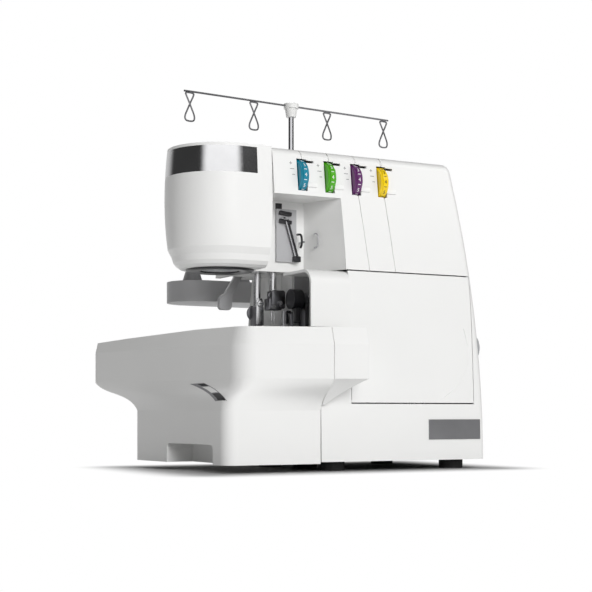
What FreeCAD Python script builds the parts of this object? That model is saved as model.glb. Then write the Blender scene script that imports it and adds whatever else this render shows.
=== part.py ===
"""Four-thread overlock machine (serger) as an assembly of separate pieces, in millimetres.

Frame: +X to the operator's right, +Y to the rear, +Z up. The origin lies on the table under the machine.
"""
import FreeCAD
import Part
import math
import os
import re

V = FreeCAD.Vector
X_AXIS = V(1, 0, 0)
Y_AXIS = V(0, 1, 0)
Z_AXIS = V(0, 0, 1)

doc = FreeCAD.newDocument("Serger")
sheet = doc.addObject("Spreadsheet::Sheet", "Sizes")

# Driving dimensions, one cell each
SIZES = {
    # casing
    "wall": 2.5,
    "seam_gap": 0.6,
    "foot_height": 6.0,
    "foot_radius": 11.0,
    "foot_inset": 24.0,
    "body_right": 139.5,
    "body_right_lean": 26.0,
    "body_left": -35.0,
    "body_front": -95.0,
    "body_front_lean": 20.0,
    "body_rear": 75.0,
    "body_rear_lean": 51.0,
    "body_top": 281.0,
    "edge_round": 9.0,
    "cover_split": -20.0,
    "looper_bottom": 60.0,
    "looper_left": -4.0,
    "door_relief": 0.5,
    "door_pin": 0.9,
    "door_pin_reach": 3.0,
    "door_pin_fit": 0.05,
    "looper_right": 125.0,
    "hood_left": -44.0,
    "hood_drop": 1.2,
    "hood_depth": 40.0,
    "hood_round": 14.0,
    # head at the left end
    "head_right": -73.0,
    "head_centre_x": -101.0,
    "head_centre_y": -29.0,
    "head_radius": 48.5,
    "head_bottom": 177.0,
    "head_taper": 5.5,
    "head_round": 8.0,
    "band_bottom": 256.0,
    "band_short": 14.0,
    "band_top": 278.5,
    "band_thick": 1.2,
    "lamp_radius": 17.0,
    "lamp_thick": 2.4,
    "trim_gap": 0.3,
    # thread niche
    "niche_right": -6.0,
    "niche_top": 240.0,
    "niche_back": -38.0,
    "niche_slant": 16.0,
    "guide_plate_left": -51.0,
    "guide_plate_right": -31.0,
    "guide_plate_low": 186.0,
    "guide_plate_high": 233.0,
    "guide_plate_thick": 3.0,
    "guide_wire": 0.9,
    "guide_reach": 9.0,
    # bed table
    "bed_top": 124.0,
    "bed_chamfer": 15.0,
    "bed_band": 29.0,
    "bed_flare": 27.0,
    "bed_front_right_x": -7.0,
    "bed_front_right_y": -128.0,
    "bed_front_left_x": -113.0,
    "bed_front_left_y": -95.0,
    "bed_rear_left_x": -158.0,
    "bed_rear_left_y": 146.0,
    "bed_base_left": -126.0,
    "bed_base_left_rear": -141.0,
    "bed_base_right": -35.6,
    "bed_base_rear": 76.0,
    "bed_corner": 22.0,
    "bed_rear_corner": 8.0,
    "bed_droop_x": -122.0,
    "bed_droop_slope": 0.17,
    "base_corner": 11.0,
    "bed_wall": 3.0,
    "notch_front": -73.0,
    "notch_rear": 10.0,
    "notch_height": 17.0,
    "notch_depth": 16.0,
    "notch_corner": 5.0,
    # free arm, needle plate and needle drive
    "arm_left": -107.0,
    "arm_front": -63.0,
    "arm_rear": 11.0,
    "arm_low": 58.0,
    "arm_gap": 1.0,
    "plate_thick": 1.8,
    "plate_left": -84.0,
    "plate_right": -38.0,
    "plate_front": -58.0,
    "plate_rear": 6.0,
    "feed_stroke": 4.0,
    "feed_length": 15.0,
    "feed_pitch": 7.0,
    "feed_width": 2.6,
    "needle_x": -49.0,
    "needle_y": -30.0,
    "needle_bar_radius": 3.2,
    "needle_bar_low": 160.0,
    "needle_bar_high": 268.0,
    "needle_radius": 0.5,
    "needle_tip": 131.0,
    "needle_pitch": 2.4,
    "clamp_width": 13.0,
    "clamp_depth": 10.0,
    "clamp_height": 17.0,
    "screw_radius": 1.8,
    "screw_length": 4.0,
    "presser_x": -60.0,
    "presser_y": -20.0,
    "presser_bar_radius": 3.5,
    "presser_bar_low": 146.0,
    "presser_bar_high": 258.0,
    "sole_thick": 2.4,
    "sole_length": 34.0,
    "sole_gap": 0.4,
    "ankle_size": 9.0,
    "ankle_height": 16.0,
    "bush_wall": 1.7,
    "bush_length": 9.0,
    "bush_rise": 7.0,
    "bush_span": 52.0,
    "bracket_margin": 7.0,
    "bracket_web": 6.0,
    "fit": 0.05,
    "lever_pivot_y": 30.0,
    "lever_pivot_z": 196.0,
    "lever_low": 146.0,
    "lever_width": 11.0,
    "lever_thick": 6.0,
    "lever_grip_width": 17.0,
    "lever_grip_height": 15.0,
    "lever_pin_radius": 2.5,
    "lever_boss_radius": 6.0,
    "opening_back": -40.0,
    "opening_drop": 0.6,
    "panel_thick": 2.0,
    "panel_low": 100.0,
    "panel_right": 1.0,
    "knife_y": -50.0,
    "knife_z": 152.0,
    "knife_shaft_radius": 2.5,
    "knife_x": -30.0,
    "knife_thick": 3.0,
    "knife_length": 26.0,
    "knife_width": 12.0,
    "knob_radius": 9.0,
    "knob_left": -42.0,
    "knob_length": 10.0,
    "lug_x": -20.0,
    "lug_thick": 6.0,
    # main shaft, motor and handwheel
    "shaft_y": -12.0,
    "shaft_z": 88.0,
    "shaft_radius": 6.0,
    "shaft_left": -92.0,
    "wheel_radius": 33.0,
    "wheel_thick": 16.0,
    "wheel_gap": 1.6,
    "plate_a_x": -30.0,
    "plate_b_x": 96.0,
    "frame_plate": 6.0,
    "frame_low": 14.0,
    "beam_rear": 50.0,
    "beam_front": -50.0,
    "plate_front_y": -22.0,
    "plate_foot_rear": 40.0,
    "plate_foot_top": 150.0,
    "plate_mid_rear": 33.0,
    "plate_mid_top": 206.0,
    "plate_top_rear": 10.0,
    "motor_plate_front": -32.0,
    "motor_plate_rear": 44.0,
    "motor_plate_top": 130.0,
    "looper_plate_left": 2.0,
    "looper_plate_right": 52.0,
    "looper_plate_y": -40.0,
    "looper_plate_thick": 6.0,
    "looper_plate_top": 112.0,
    "looper_low_x": 14.0,
    "looper_low_z": 72.0,
    "looper_high_x": 38.0,
    "looper_high_z": 96.0,
    "looper_pin": 3.0,
    "looper_boss": 7.0,
    "looper_thick": 5.0,
    "looper_reach": 38.0,
    "looper_rise": 30.0,
    "motor_y": 34.0,
    "motor_z": 66.0,
    "motor_radius": 24.0,
    "motor_length": 66.0,
    "motor_shaft_radius": 3.0,
    "pulley_x": 106.0,
    "pulley_width": 9.0,
    "pulley_radius": 30.0,
    "motor_pulley_radius": 9.0,
    "belt_thick": 2.0,
    # thread tension
    "dial_x": -49.0,
    "dial_pitch": 27.0,
    "dial_drop": 24.0,
    "dial_radius": 15.0,
    "dial_width": 8.0,
    "dial_proud": 7.0,
    "dial_spindle": 3.0,
    "slot_gap": 0.8,
    "groove_depth": 0.9,
    "groove_width": 1.4,
    "groove_slant": 9.0,
    "disc_radius": 5.0,
    "disc_thick": 0.8,
    "disc_gap": 0.8,
    "rail_thick": 5.0,
    "rail_height": 14.0,
    "post_thick": 3.0,
    "post_height": 8.0,
    "slit_height": 2.2,
    "slit_rise": 12.0,
    # spool stand and thread guide
    "stand_x": 15.8,
    "stand_front": 61.0,
    "stand_depth": 60.0,
    "stand_half": 115.0,
    "stand_z": 157.0,
    "stand_thick": 20.0,
    "stand_floor": 3.0,
    "stand_rim": 2.5,
    "stand_seat": 24.0,
    "stand_neck": 52.0,
    "spool_margin": 27.0,
    "spool_inner": 36.0,
    "pin_radius": 2.6,
    "pin_height": 62.0,
    "holder_low": 15.0,
    "holder_high": 7.0,
    "holder_height": 26.0,
    "felt_radius": 19.0,
    "felt_thick": 2.0,
    "pole_y": 58.0,
    "pole_radius": 3.4,
    "rod_radius": 2.6,
    "rod_low": 232.0,
    "pole_top": 296.0,
    "bar_z": 351.0,
    "bar_half": 118.4,
    "bar_skew": 11.2,
    "bar_radius": 0.9,
    "hook_outer": 113.5,
    "hook_inner": 43.0,
    "hook_length": 28.0,
    "hook_width": 10.0,
    "hook_neck": 3.2,
    "hook_wire": 0.8,
    "cap_radius": 7.2,
    "cap_height": 13.0,
    # trim and controls on the casing
    "badge_left": 75.6,
    "badge_right": 131.6,
    "badge_low": 27.0,
    "badge_high": 45.0,
    "badge_thick": 0.8,
    "inlet_front": 20.0,
    "inlet_rear": 52.0,
    "inlet_low": 22.0,
    "inlet_high": 64.0,
    "inlet_left": 122.0,
    "inlet_face": 138.2,
    "switch_width": 22.0,
    "switch_height": 14.0,
    "switch_z": 54.0,
    "socket_depth": 11.0,
    "stitch_y": -58.0,
    "stitch_z": 112.0,
    "stitch_radius": 13.0,
    "stitch_thick": 9.0,
    "stitch_spindle": 4.0,
}


def fill_sheet():
    """Writes every driving dimension into the sheet, with its name as the cell's alias."""
    for row, (name, value) in enumerate(SIZES.items(), start=1):
        sheet.set("A%d" % row, name)
        sheet.set("B%d" % row, str(value))
        sheet.setAlias("B%d" % row, name)
    doc.recompute()


def size(name):
    """A driving dimension as a number, read from the sheet."""
    return float(getattr(sheet, name))


def bound(text):
    """An expression on aliases, such as 'bed_top - wall', as the sheet's own expression."""
    return re.sub(r"\b([a-z]\w*)\b", lambda m: "Sizes." + m.group(1) if m.group(1) in SIZES else m.group(1),
                  text)


def bind(obj, **expressions):
    """Binds an object's properties to expressions on the sheet."""
    for prop, text in expressions.items():
        obj.setExpression(prop, bound(text))


def place(obj, x="0", y="0", z="0", axis=None, angle=0.0):
    """Puts an object at an expression-bound place, turned about an axis."""
    turn = FreeCAD.Rotation(axis or Z_AXIS, angle)
    obj.Placement = FreeCAD.Placement(V(0, 0, 0), turn)
    for key, text in (("x", x), ("y", y), ("z", z)):
        obj.setExpression("Placement.Base." + key, bound(text))
    return obj


def box(name, length, width, height, x, y, z):
    """A block from its lowest corner; every argument is an expression."""
    obj = doc.addObject("Part::Box", name)
    bind(obj, Length=length, Width=width, Height=height)
    return place(obj, x, y, z)


TURN_TO = {"x": (Y_AXIS, 90.0), "y": (X_AXIS, -90.0), "z": (Z_AXIS, 0.0)}


def rod(name, radius, length, x, y, z, along="z"):
    """A cylinder from the centre of its first end, pointing along +x, +y or +z."""
    obj = doc.addObject("Part::Cylinder", name)
    bind(obj, Radius=radius, Height=length)
    axis, angle = TURN_TO[along]
    return place(obj, x, y, z, axis, angle)


def cone(name, radius_1, radius_2, length, x, y, z, along="z"):
    """A cone from the centre of its first end, pointing along +x, +y or +z."""
    obj = doc.addObject("Part::Cone", name)
    bind(obj, Radius1=radius_1, Radius2=radius_2, Height=length)
    axis, angle = TURN_TO[along]
    return place(obj, x, y, z, axis, angle)


def fuse(name, *shapes):
    """The listed objects as one solid."""
    obj = doc.addObject("Part::MultiFuse", name)
    obj.Shapes = list(shapes)
    obj.Refine = True
    return obj


def cut(name, base, *tools):
    """The base with every tool taken away."""
    tool = tools[0] if len(tools) == 1 else fuse(name + "_tools", *tools)
    obj = doc.addObject("Part::Cut", name)
    obj.Base = base
    obj.Tool = tool
    obj.Refine = True
    return obj


def group(name, *shapes):
    """Separate solids of one node."""
    obj = doc.addObject("Part::Compound", name)
    obj.Links = list(shapes)
    return obj


def solid(name, shape):
    """A sub-part whose shape is worked out from the sheet's numbers."""
    obj = doc.addObject("Part::Feature", name)
    obj.Shape = shape
    return obj


NODES = {}


def node(label, obj):
    """Names a finished sub-part."""
    obj.Label = label
    NODES[label] = obj
    return obj


def line(a, b):
    return Part.LineSegment(a, b).toShape()


def arc(a, b, c):
    return Part.Arc(a, b, c).toShape()


def block(x0, x1, y0, y1, z0, z1):
    """A plain block between two corners, as a shape."""
    return Part.makeBox(x1 - x0, y1 - y0, z1 - z0, V(x0, y0, z0))


def round_polygon(points, radii, z):
    """A closed wire at height z through plan points, each corner rounded by its radius."""
    edges = []
    starts = []
    ends = []
    count = len(points)
    for i, (px, py) in enumerate(points):
        here = V(px, py, z)
        before = V(*points[i - 1], z) - here
        after = V(*points[(i + 1) % count], z) - here
        before.normalize()
        after.normalize()
        half = before.getAngle(after) / 2
        reach = radii[i] / math.tan(half)
        middle = before + after
        middle.normalize()
        centre = here + middle * (radii[i] / math.sin(half))
        starts.append(here + before * reach)
        ends.append(here + after * reach)
        edges.append((arc(starts[i], centre - middle * radii[i], ends[i])))
    wire = []
    for i in range(count):
        wire.append(edges[i])
        wire.append(line(ends[i], starts[(i + 1) % count]))
    return Part.Wire(wire)


# Main casing: a side profile and a front profile that cross each other
FAR = 400.0


def side_profile(inset):
    """The body seen from its side, from the table up, taken in by inset."""
    low = size("foot_height") + inset
    top = size("body_top") - inset
    front = size("body_front") + inset
    rear = size("body_rear") - inset
    front_top = front + size("body_front_lean")
    rear_top = rear - size("body_rear_lean")
    mid = (low + top) / 2
    bulge = size("body_front_lean") * 0.32
    waist = size("body_rear_lean") * 0.5
    edges = [
        arc(V(-FAR, front, low), V(-FAR, front + bulge - 1.0, mid), V(-FAR, front_top, top)),
        line(V(-FAR, front_top, top), V(-FAR, rear_top, top)),
        arc(V(-FAR, rear_top, top), V(-FAR, rear_top + waist - 2.0, mid), V(-FAR, rear, low)),
        line(V(-FAR, rear, low), V(-FAR, front, low)),
    ]
    return Part.Face(Part.Wire(edges)).extrude(V(2 * FAR, 0, 0))


def front_profile(inset):
    """The body seen from the front: a right side that leans in, and a straight left edge inside the head."""
    low = size("foot_height") + inset
    top = size("body_top") - inset
    left = size("head_right") + inset
    right = size("body_right") - inset
    right_top = right - size("body_right_lean")
    mid = (low + top) / 2
    bulge = size("body_right_lean") * 0.25
    edges = [
        line(V(left, -FAR, low), V(right, -FAR, low)),
        arc(V(right, -FAR, low), V(right - bulge, -FAR, mid), V(right_top, -FAR, top)),
        line(V(right_top, -FAR, top), V(left, -FAR, top)),
        line(V(left, -FAR, top), V(left, -FAR, low)),
    ]
    return Part.Face(Part.Wire(edges)).extrude(V(0, 2 * FAR, 0))


def body_form(inset):
    """The whole body as a filled solid, its right and top edges rounded."""
    form = side_profile(inset).common(front_profile(inset))
    form = form.Solids[0]
    top = size("body_top") - inset
    wanted = []
    for edge in form.Edges:
        mid = edge.valueAt((edge.FirstParameter + edge.LastParameter) / 2)
        upright = edge.BoundBox.ZLength > 100 and mid.x > 0
        along_top = abs(mid.z - top) < 0.1 and mid.x > size("head_right") + inset + 1
        if upright or along_top:
            wanted.append(edge)
    radius = max(size("edge_round") - inset, 2.0)
    return form.makeFillet(radius, wanted)


def niche_form(out, past):
    """The thread niche between head and column as a filled solid with a slanted right wall."""
    left = size("head_right") - past
    low = size("head_bottom") - past
    right = size("niche_right") + out
    back = size("niche_back") + out
    bend = size("body_front") + size("body_front_lean") / 2
    plan = [V(left, -FAR, low), V(right, -FAR, low), V(right, bend, low), V(right - size("niche_slant"),
                                                                            back, low),
            V(left, back, low)]
    face = Part.Face(Part.makePolygon(plan + plan[:1]))
    return face.extrude(V(0, 0, size("niche_top") + out - low))


def door_axis():
    """The looper door's hinge line: in the middle of its skin, just above its lower edge."""
    z = size("looper_bottom") + size("door_pin") + size("door_pin_fit")
    across = Part.makeLine(V(size("looper_left"), -FAR, z), V(size("looper_left"), 0, z))
    return body_form(0.0).common(across).BoundBox.YMin + size("wall") / 2, z


def door_pins(radius):
    """The two pins that the looper door turns on, one at each end of its lower edge."""
    y, z = door_axis()
    reach = size("door_pin_reach")
    left = Part.makeCylinder(radius, 2 * reach, V(size("looper_left") - reach, y, z), V(1, 0, 0))
    right = Part.makeCylinder(radius, 2 * reach, V(size("looper_right") - reach, y, z), V(1, 0, 0))
    return left.fuse(right)


def casing_regions():
    """Cuts the body's shell into its upper front cover, rear cover, lower front cover and looper door."""
    wall = size("wall")
    gap = size("seam_gap")
    low = size("foot_height")
    outer = body_form(0.0)
    shell = outer.cut(body_form(wall))
    bottom = block(-FAR, FAR, -FAR, FAR, low - FAR, low + wall + 0.01)
    shell = shell.cut(bottom)
    under_arm = block(-FAR, size("body_left"), -FAR, FAR, -FAR, size("head_bottom"))
    arm_floor = outer.common(block(size("head_right"), size("body_left") + wall, -FAR, FAR,
                                   size("head_bottom"), size("head_bottom") + wall))
    column_wall = outer.common(block(size("body_left"), size("body_left") + wall, -FAR, FAR,
                                     low + wall, size("head_bottom") + wall))
    shell = shell.cut(under_arm).fuse([arm_floor, column_wall])
    niche_wall = niche_form(wall, 0.0).common(outer)
    shell = shell.fuse(niche_wall).cut(niche_form(0.0, 1.0))
    split = size("cover_split")
    seam = size("head_bottom")
    rear = shell.common(block(-FAR, FAR, split + gap / 2, FAR, -FAR, FAR))
    front = shell.common(block(-FAR, FAR, -FAR, split - gap / 2, -FAR, FAR))
    upper = front.common(block(-FAR, FAR, -FAR, FAR, seam, FAR))
    lower = front.common(block(-FAR, FAR, -FAR, FAR, -FAR, seam - gap))
    door_zone = block(size("looper_left"), size("looper_right"), -FAR,
                      size("body_front") + size("hood_depth"),
                      size("looper_bottom"), seam)
    door = outer.cut(body_form(wall)).common(door_zone).common(block(-FAR, FAR, -FAR, FAR, -FAR,
                                                                            seam - gap - size("door_relief")))
    door_clear = block(size("looper_left") - gap, size("looper_right") + gap, -FAR,
                       size("body_front") + size("hood_depth") + gap,
                       size("looper_bottom") - gap - size("door_relief"), seam)
    lower = lower.cut(door_clear).cut(door_pins(size("door_pin") + size("door_pin_fit")))
    return upper, rear, lower, door.fuse(door_pins(size("door_pin")))


def stadium(radius, z, right, inset=0.0):
    """The head's plan at height z: a half circle at the left, straight sides to the right."""
    cx = size("head_centre_x")
    cy = size("head_centre_y")
    r = radius - inset
    front = V(cx, cy - r, z)
    rear = V(cx, cy + r, z)
    edges = [
        arc(front, V(cx - r, cy, z), rear),
        line(rear, V(right, cy + r, z)),
        line(V(right, cy + r, z), V(right, cy - r, z)),
        line(V(right, cy - r, z), front),
    ]
    return Part.Wire(edges)


def head_form(inset, right):
    """The head's barrel shape as a filled solid: widest below its middle, drawn in at top and bottom."""
    r = size("head_radius")
    taper = size("head_taper")
    low = size("head_bottom") + inset
    top = size("body_top") - inset
    height = top - low
    turn = size("head_round")
    stages = ((0.0, taper), (0.35, 0.6), (0.68, 0.0), (1.0, taper * 0.42))
    barrel = Part.makeLoft([stadium(r - drop, low + share * height, right, inset) for share,
                            drop in stages], True, False)
    edge = ((0.0, taper + turn), (0.02, taper + turn * 0.58), (0.05, taper + turn * 0.26),
            (0.1, taper + turn * 0.05),
            (0.25, taper - turn), (1.0, taper - turn))
    trim = Part.makeLoft([stadium(r - drop, low + share * height, right + 1, inset) for share,
                          drop in edge], True, True)
    return barrel.common(trim)


def lamp_centre():
    """The middle of the lamp's round window, on the head's underside."""
    return V(size("head_centre_x"), size("head_centre_y"), size("head_bottom"))


def head_pieces():
    """The head cover with the seat of its bright band, and the band."""
    wall = size("wall")
    gap = size("seam_gap")
    right = size("head_right") - gap
    outer = head_form(0.0, right)
    inner = head_form(wall, right - wall)
    belt = block(-FAR, right - size("band_short"), -FAR, FAR, size("band_bottom"), size("band_top"))
    skin = outer.cut(head_form(size("band_thick"), right + 1))
    band = skin.common(belt)
    lamp_hole = Part.makeCylinder(size("lamp_radius"), 6 * wall, lamp_centre() - Z_AXIS * wall)
    cover = outer.cut(inner).cut(band).cut(lamp_hole)
    return cover, band


def bed_outline(inset, z, share, open_right=0.0):
    """The bed's plan at height z; share 1 is the full band, 0 the base. A cavity opens to the right."""
    def between(full, base):
        return base + (full - base) * share
    right = size("bed_base_right")
    slope = (size("bed_front_right_y") - size("bed_front_left_y")) / (
        size("bed_front_right_x") - size("bed_front_left_x"))
    front_at_right = size("bed_front_left_y") + slope * (right - size("bed_front_left_x"))
    points = [
        (right + open_right, between(front_at_right, size("body_front")) + inset),
        (between(size("bed_front_left_x"), size("bed_base_left")) + inset,
         between(size("bed_front_left_y"), size("body_front")) + inset),
        (between(size("bed_rear_left_x"), size("bed_base_left_rear")) + inset,
         between(size("bed_rear_left_y"), size("bed_base_rear")) - inset),
        (right + open_right, between(size("bed_rear_left_y"), size("bed_base_rear")) - inset),
    ]
    corner = between(size("bed_corner"), size("base_corner"))
    radii = [1.0, max(corner - inset, 2.0), max(size("bed_rear_corner") - inset, 2.0), 1.0]
    return round_polygon(points, radii, z)


def bed_heights(inset):
    """Heights of the bed's base, flare, band and top."""
    top = size("bed_top") - inset
    band_top = size("bed_top") - size("bed_chamfer") - inset * 0.4
    band_low = size("bed_top") - size("bed_chamfer") - size("bed_band") + inset * 0.3
    flare_low = band_low - size("bed_flare")
    return top, band_top, band_low, flare_low


def bed_form(inset, low, open_right=0.0):
    """The bed as a filled solid: base, hollow-cheeked flare, band and chamfered top."""
    def outline(z, share, more=0.0):
        return bed_outline(inset + more, z, share, open_right)
    top, band_top, band_low, flare_low = bed_heights(inset)
    flare = [(flare_low, 0.0), (flare_low + 0.18 * size("bed_flare"), 0.07),
             (flare_low + 0.5 * size("bed_flare"), 0.37), (band_low, 1.0)]
    base = Part.makeLoft([outline(low, 0.0), outline(flare_low, 0.0)], True, True)
    cheek = Part.makeLoft([outline(z, share) for z, share in flare], True, False)
    band = Part.makeLoft([outline(band_low, 1.0), outline(band_top, 1.0)], True, True)
    lip = Part.makeLoft([outline(band_top, 1.0), outline(top, 1.0, size("bed_chamfer") * 0.28)], True, True)
    slope = size("bed_droop_slope")
    start = size("bed_droop_x")
    fall = [V(start, -FAR, top), V(start - FAR, -FAR, top - slope * FAR), V(start - FAR, -FAR, FAR),
            V(start, -FAR, FAR)]
    droop = Part.Face(Part.makePolygon(fall + fall[:1])).extrude(V(0, 2 * FAR, 0))
    return base.fuse([cheek, band, lip]).cut(droop)


def bed_wing():
    """The part of the bed that runs on in front of the body, to the looper door."""
    top, band_top, band_low, flare_low = bed_heights(0.0)
    right = size("bed_base_right")
    slope = (size("bed_front_right_y") - size("bed_front_left_y")) / (
        size("bed_front_right_x") - size("bed_front_left_x"))
    front_at_right = size("bed_front_left_y") + slope * (right - size("bed_front_left_x"))
    back = size("body_front") - size("seam_gap")
    tip = size("bed_front_right_x")

    def outline(z, share, inset=0.0):
        front = back + (front_at_right - back) * share + inset
        end = right + (tip - right) * share
        end_front = back + (size("bed_front_right_y") - back) * share + inset
        points = [V(right, front, z), V(right, back, z), V(end, back, z), V(end, end_front, z)]
        return Part.makePolygon(points + points[:1])
    lip_in = size("bed_chamfer") * 0.28
    cheek = Part.makeLoft([outline(flare_low + 0.18 * size("bed_flare"), 0.07),
                           outline(flare_low + 0.5 * size("bed_flare"), 0.37),
                           outline(band_low, 1.0)], True, False)
    band = Part.makeLoft([outline(band_low, 1.0), outline(band_top, 1.0)], True, True)
    lip = Part.makeLoft([outline(band_top, 1.0), outline(top, 1.0, lip_in)], True, True)
    return cheek.fuse([band, lip])


def needle_opening():
    """The space at the body's left front where the knife and the foot work."""
    return block(size("body_left") - 1, size("looper_left"), -FAR, size("opening_back"),
                 size("bed_top") + size("arm_gap"), size("head_bottom") - size("opening_drop"))


def dial_places():
    """The X of each tension dial's left face."""
    return [size("dial_x") + i * size("dial_pitch") for i in range(4)]


def dial_z():
    """The height of the dials' axis."""
    return size("body_top") - size("dial_drop")


def dial_axis_y():
    """The dials stand proud of the casing's front face at their own height."""
    section = side_profile(0.0).common(block(-1, 1, -FAR, FAR, dial_z(), dial_z() + 0.5))
    return section.BoundBox.YMin + size("dial_radius") - size("dial_proud")


def dial_openings():
    """The slot that each dial stands in and the thread slit above it."""
    y = dial_axis_y()
    gap = size("slot_gap")
    openings = []
    for x in dial_places():
        openings.append(Part.makeCylinder(size("dial_radius") + 1.5 * gap, size("dial_width") + 2 * gap,
                                          V(x - gap, y, dial_z()), X_AXIS))
        slit = dial_z() + size("slit_rise")
        openings.append(block(x - gap, x + 2 * size("dial_width"), -FAR, y, slit,
                              slit + size("slit_height")))
    return openings


def thread_grooves():
    """Fine grooves in the front face that lead the thread to each dial, and down from the right-hand two."""
    skin = body_form(-size("groove_depth")).cut(body_form(size("groove_depth")))
    half = size("groove_width") / 2
    slit = dial_z() + size("slit_rise")
    runs = []
    for i, x in enumerate(dial_places()):
        middle = x + size("dial_width") / 2
        runs.append(block(middle - half, middle + half, -FAR, 0, slit, FAR))
        if i > 1:
            low = size("head_bottom") - 1
            foot = middle + size("groove_slant")
            path = [V(middle - half, -FAR, dial_z()), V(middle + half, -FAR, dial_z()),
                    V(foot + half, -FAR, low),
                    V(foot - half, -FAR, low)]
            runs.append(Part.Face(Part.makePolygon(path + path[:1])).extrude(V(0, FAR, 0)))
    return [skin.common(run) for run in runs]


def make_casings():
    """Front, rear and lower covers, looper door, base pan and feet."""
    gap = size("seam_gap")
    wall = size("wall")
    upper, rear, lower, door = casing_regions()
    bar_hole = Part.makeCylinder(size("needle_bar_radius") + wall, 40,
                                 V(size("needle_x"), size("needle_y"), size("head_bottom") - wall))
    presser_hole = Part.makeCylinder(size("presser_bar_radius") + wall, 40,
                                     V(size("presser_x"), size("presser_y"), size("head_bottom") - wall))
    half = size("lever_width") / 2 + wall
    lever_slot = block(size("presser_x") - half, size("presser_x") + half,
                       size("lever_pivot_y") - 2 * size("lever_boss_radius"), FAR, size("head_bottom") - wall,
                       size("lever_pivot_z") + 2 * size("lever_boss_radius"))
    shaft_hole = Part.makeCylinder(size("shaft_radius") + 1.0, 2 * FAR,
                                   V(size("body_left") - wall, size("shaft_y"), size("shaft_z")), X_AXIS)
    stitch_hole = Part.makeCylinder(size("stitch_spindle") + size("trim_gap"), FAR,
                                    V(size("looper_right"), size("stitch_y"), size("stitch_z")), X_AXIS)
    inlet_hole = block(size("inlet_left"), FAR, size("inlet_front"), size("inlet_rear"),
                       size("inlet_low"), size("inlet_high"))
    for opening in dial_openings() + thread_grooves() + [bar_hole, presser_hole]:
        upper = upper.cut(opening)
    for opening in (presser_hole, lever_slot, shaft_hole, inlet_hole):
        rear = rear.cut(opening)
    for opening in (shaft_hole, needle_opening(), stitch_hole):
        lower = lower.cut(opening)
    node("front_cover", solid("front_cover", upper))
    node("rear_cover", solid("rear_cover", rear))
    node("lower_cover", solid("lower_cover", lower))
    node("looper_cover", solid("looper_cover", door))
    low = size("foot_height") + wall + gap
    pan = body_form(wall + gap).common(block(size("body_left") + wall + gap, FAR, -FAR, FAR, low,
                                             low + wall))
    node("base_pan", solid("base_pan", pan))
    feet = []
    for i, x in enumerate(("body_left + foot_inset", "body_right - foot_inset")):
        for k, y in enumerate(("body_front + foot_inset", "body_rear - foot_inset")):
            feet.append(rod("foot_%d%d" % (i, k), "foot_radius", "foot_height + wall + seam_gap", x, y,
                            "0"))
    feet.append(rod("foot_middle", "foot_radius", "foot_height + wall + seam_gap", "0", "0", "0"))
    node("rubber_feet", group("rubber_feet", *feet))


def hood_profile(inset, x):
    """The knife hood's section at x: a flat top, a round shoulder and an upright front."""
    front = size("body_front") + size("wall") + inset
    back = size("opening_back") - size("trim_gap")
    low = size("bed_top") + size("arm_gap") + size("seam_gap")
    top = size("head_bottom") - size("hood_drop") - inset
    radius = size("hood_round") - inset
    rest = radius * (1 - math.sqrt(0.5))
    points = [V(x, back, top), V(x, front + radius, top), V(x, front, top - radius), V(x, front, low),
              V(x, back, low)]
    bend = arc(points[1], V(x, front + rest, top - rest), points[2])
    return Part.Face(Part.Wire([line(points[0], points[1]), bend, line(points[2], points[3]),
                                line(points[3], points[4]), line(points[4], points[0])]))


def make_hood():
    """The fixed hood over the knife, open to the left and below, and the panel behind the needle space."""
    wall = size("wall")
    left = size("hood_left")
    right = size("looper_left") - size("seam_gap")
    outer = hood_profile(0.0, left).extrude(V(right - left, 0, 0))
    inner = hood_profile(wall, left - 1).extrude(V(right - left - wall + 1, 0, 0))
    under = inner.copy()
    under.translate(V(0, 0, -2 * wall))
    back = inner.copy()
    back.translate(V(0, 2 * wall, 0))
    node("knife_hood", solid("knife_hood", outer.cut(inner).cut(under).cut(back)))
    panel = box("panel_sheet", "panel_right - body_left - wall - trim_gap", "panel_thick",
                "head_bottom - trim_gap - panel_low", "body_left + wall + trim_gap", "opening_back",
                "panel_low")
    lug = box("panel_lug", "lug_thick", "opening_back - knife_y + 2 * knife_shaft_radius",
              "4 * knife_shaft_radius", "lug_x",
              "knife_y - 2 * knife_shaft_radius", "knife_z - 2 * knife_shaft_radius")
    bore = rod("panel_bore", "knife_shaft_radius + fit", "lug_thick + 2", "lug_x - 1", "knife_y", "knife_z",
               "x")
    node("inner_panel", cut("inner_panel", fuse("inner_panel_form", panel, lug), bore))
    shaft = rod("knife_shaft", "knife_shaft_radius", "lug_x + lug_thick - knob_left - knob_length",
                "knob_left + knob_length",
                "knife_y", "knife_z", "x")
    blade = box("knife_blade", "knife_thick", "knife_width", "knife_length", "knife_x",
                "knife_y - knife_width / 2",
                "knife_z - knife_length")
    eye = rod("knife_eye", "knife_width / 2", "knife_thick", "knife_x", "knife_y", "knife_z", "x")
    node("upper_knife", fuse("upper_knife", shaft, blade, eye))
    node("knife_knob", rod("knife_knob", "knob_radius", "knob_length", "knob_left", "knife_y", "knife_z",
                           "x"))
    node("lower_knife", box("lower_knife", "knife_thick - 2 * trim_gap", "knife_width", "plate_thick",
                            "plate_right + trim_gap", "knife_y - knife_width / 2", "bed_top - plate_thick"))


def make_head():
    """The head's cover, its bright band and the lamp's window."""
    cover, band = head_pieces()
    node("head_cover", solid("head_cover", cover))
    node("chrome_band", solid("chrome_band", band))
    node("lamp_lens", rod("lamp_lens", "lamp_radius - trim_gap", "lamp_thick", "head_centre_x",
                          "head_centre_y",
                          "head_bottom + trim_gap"))


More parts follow.
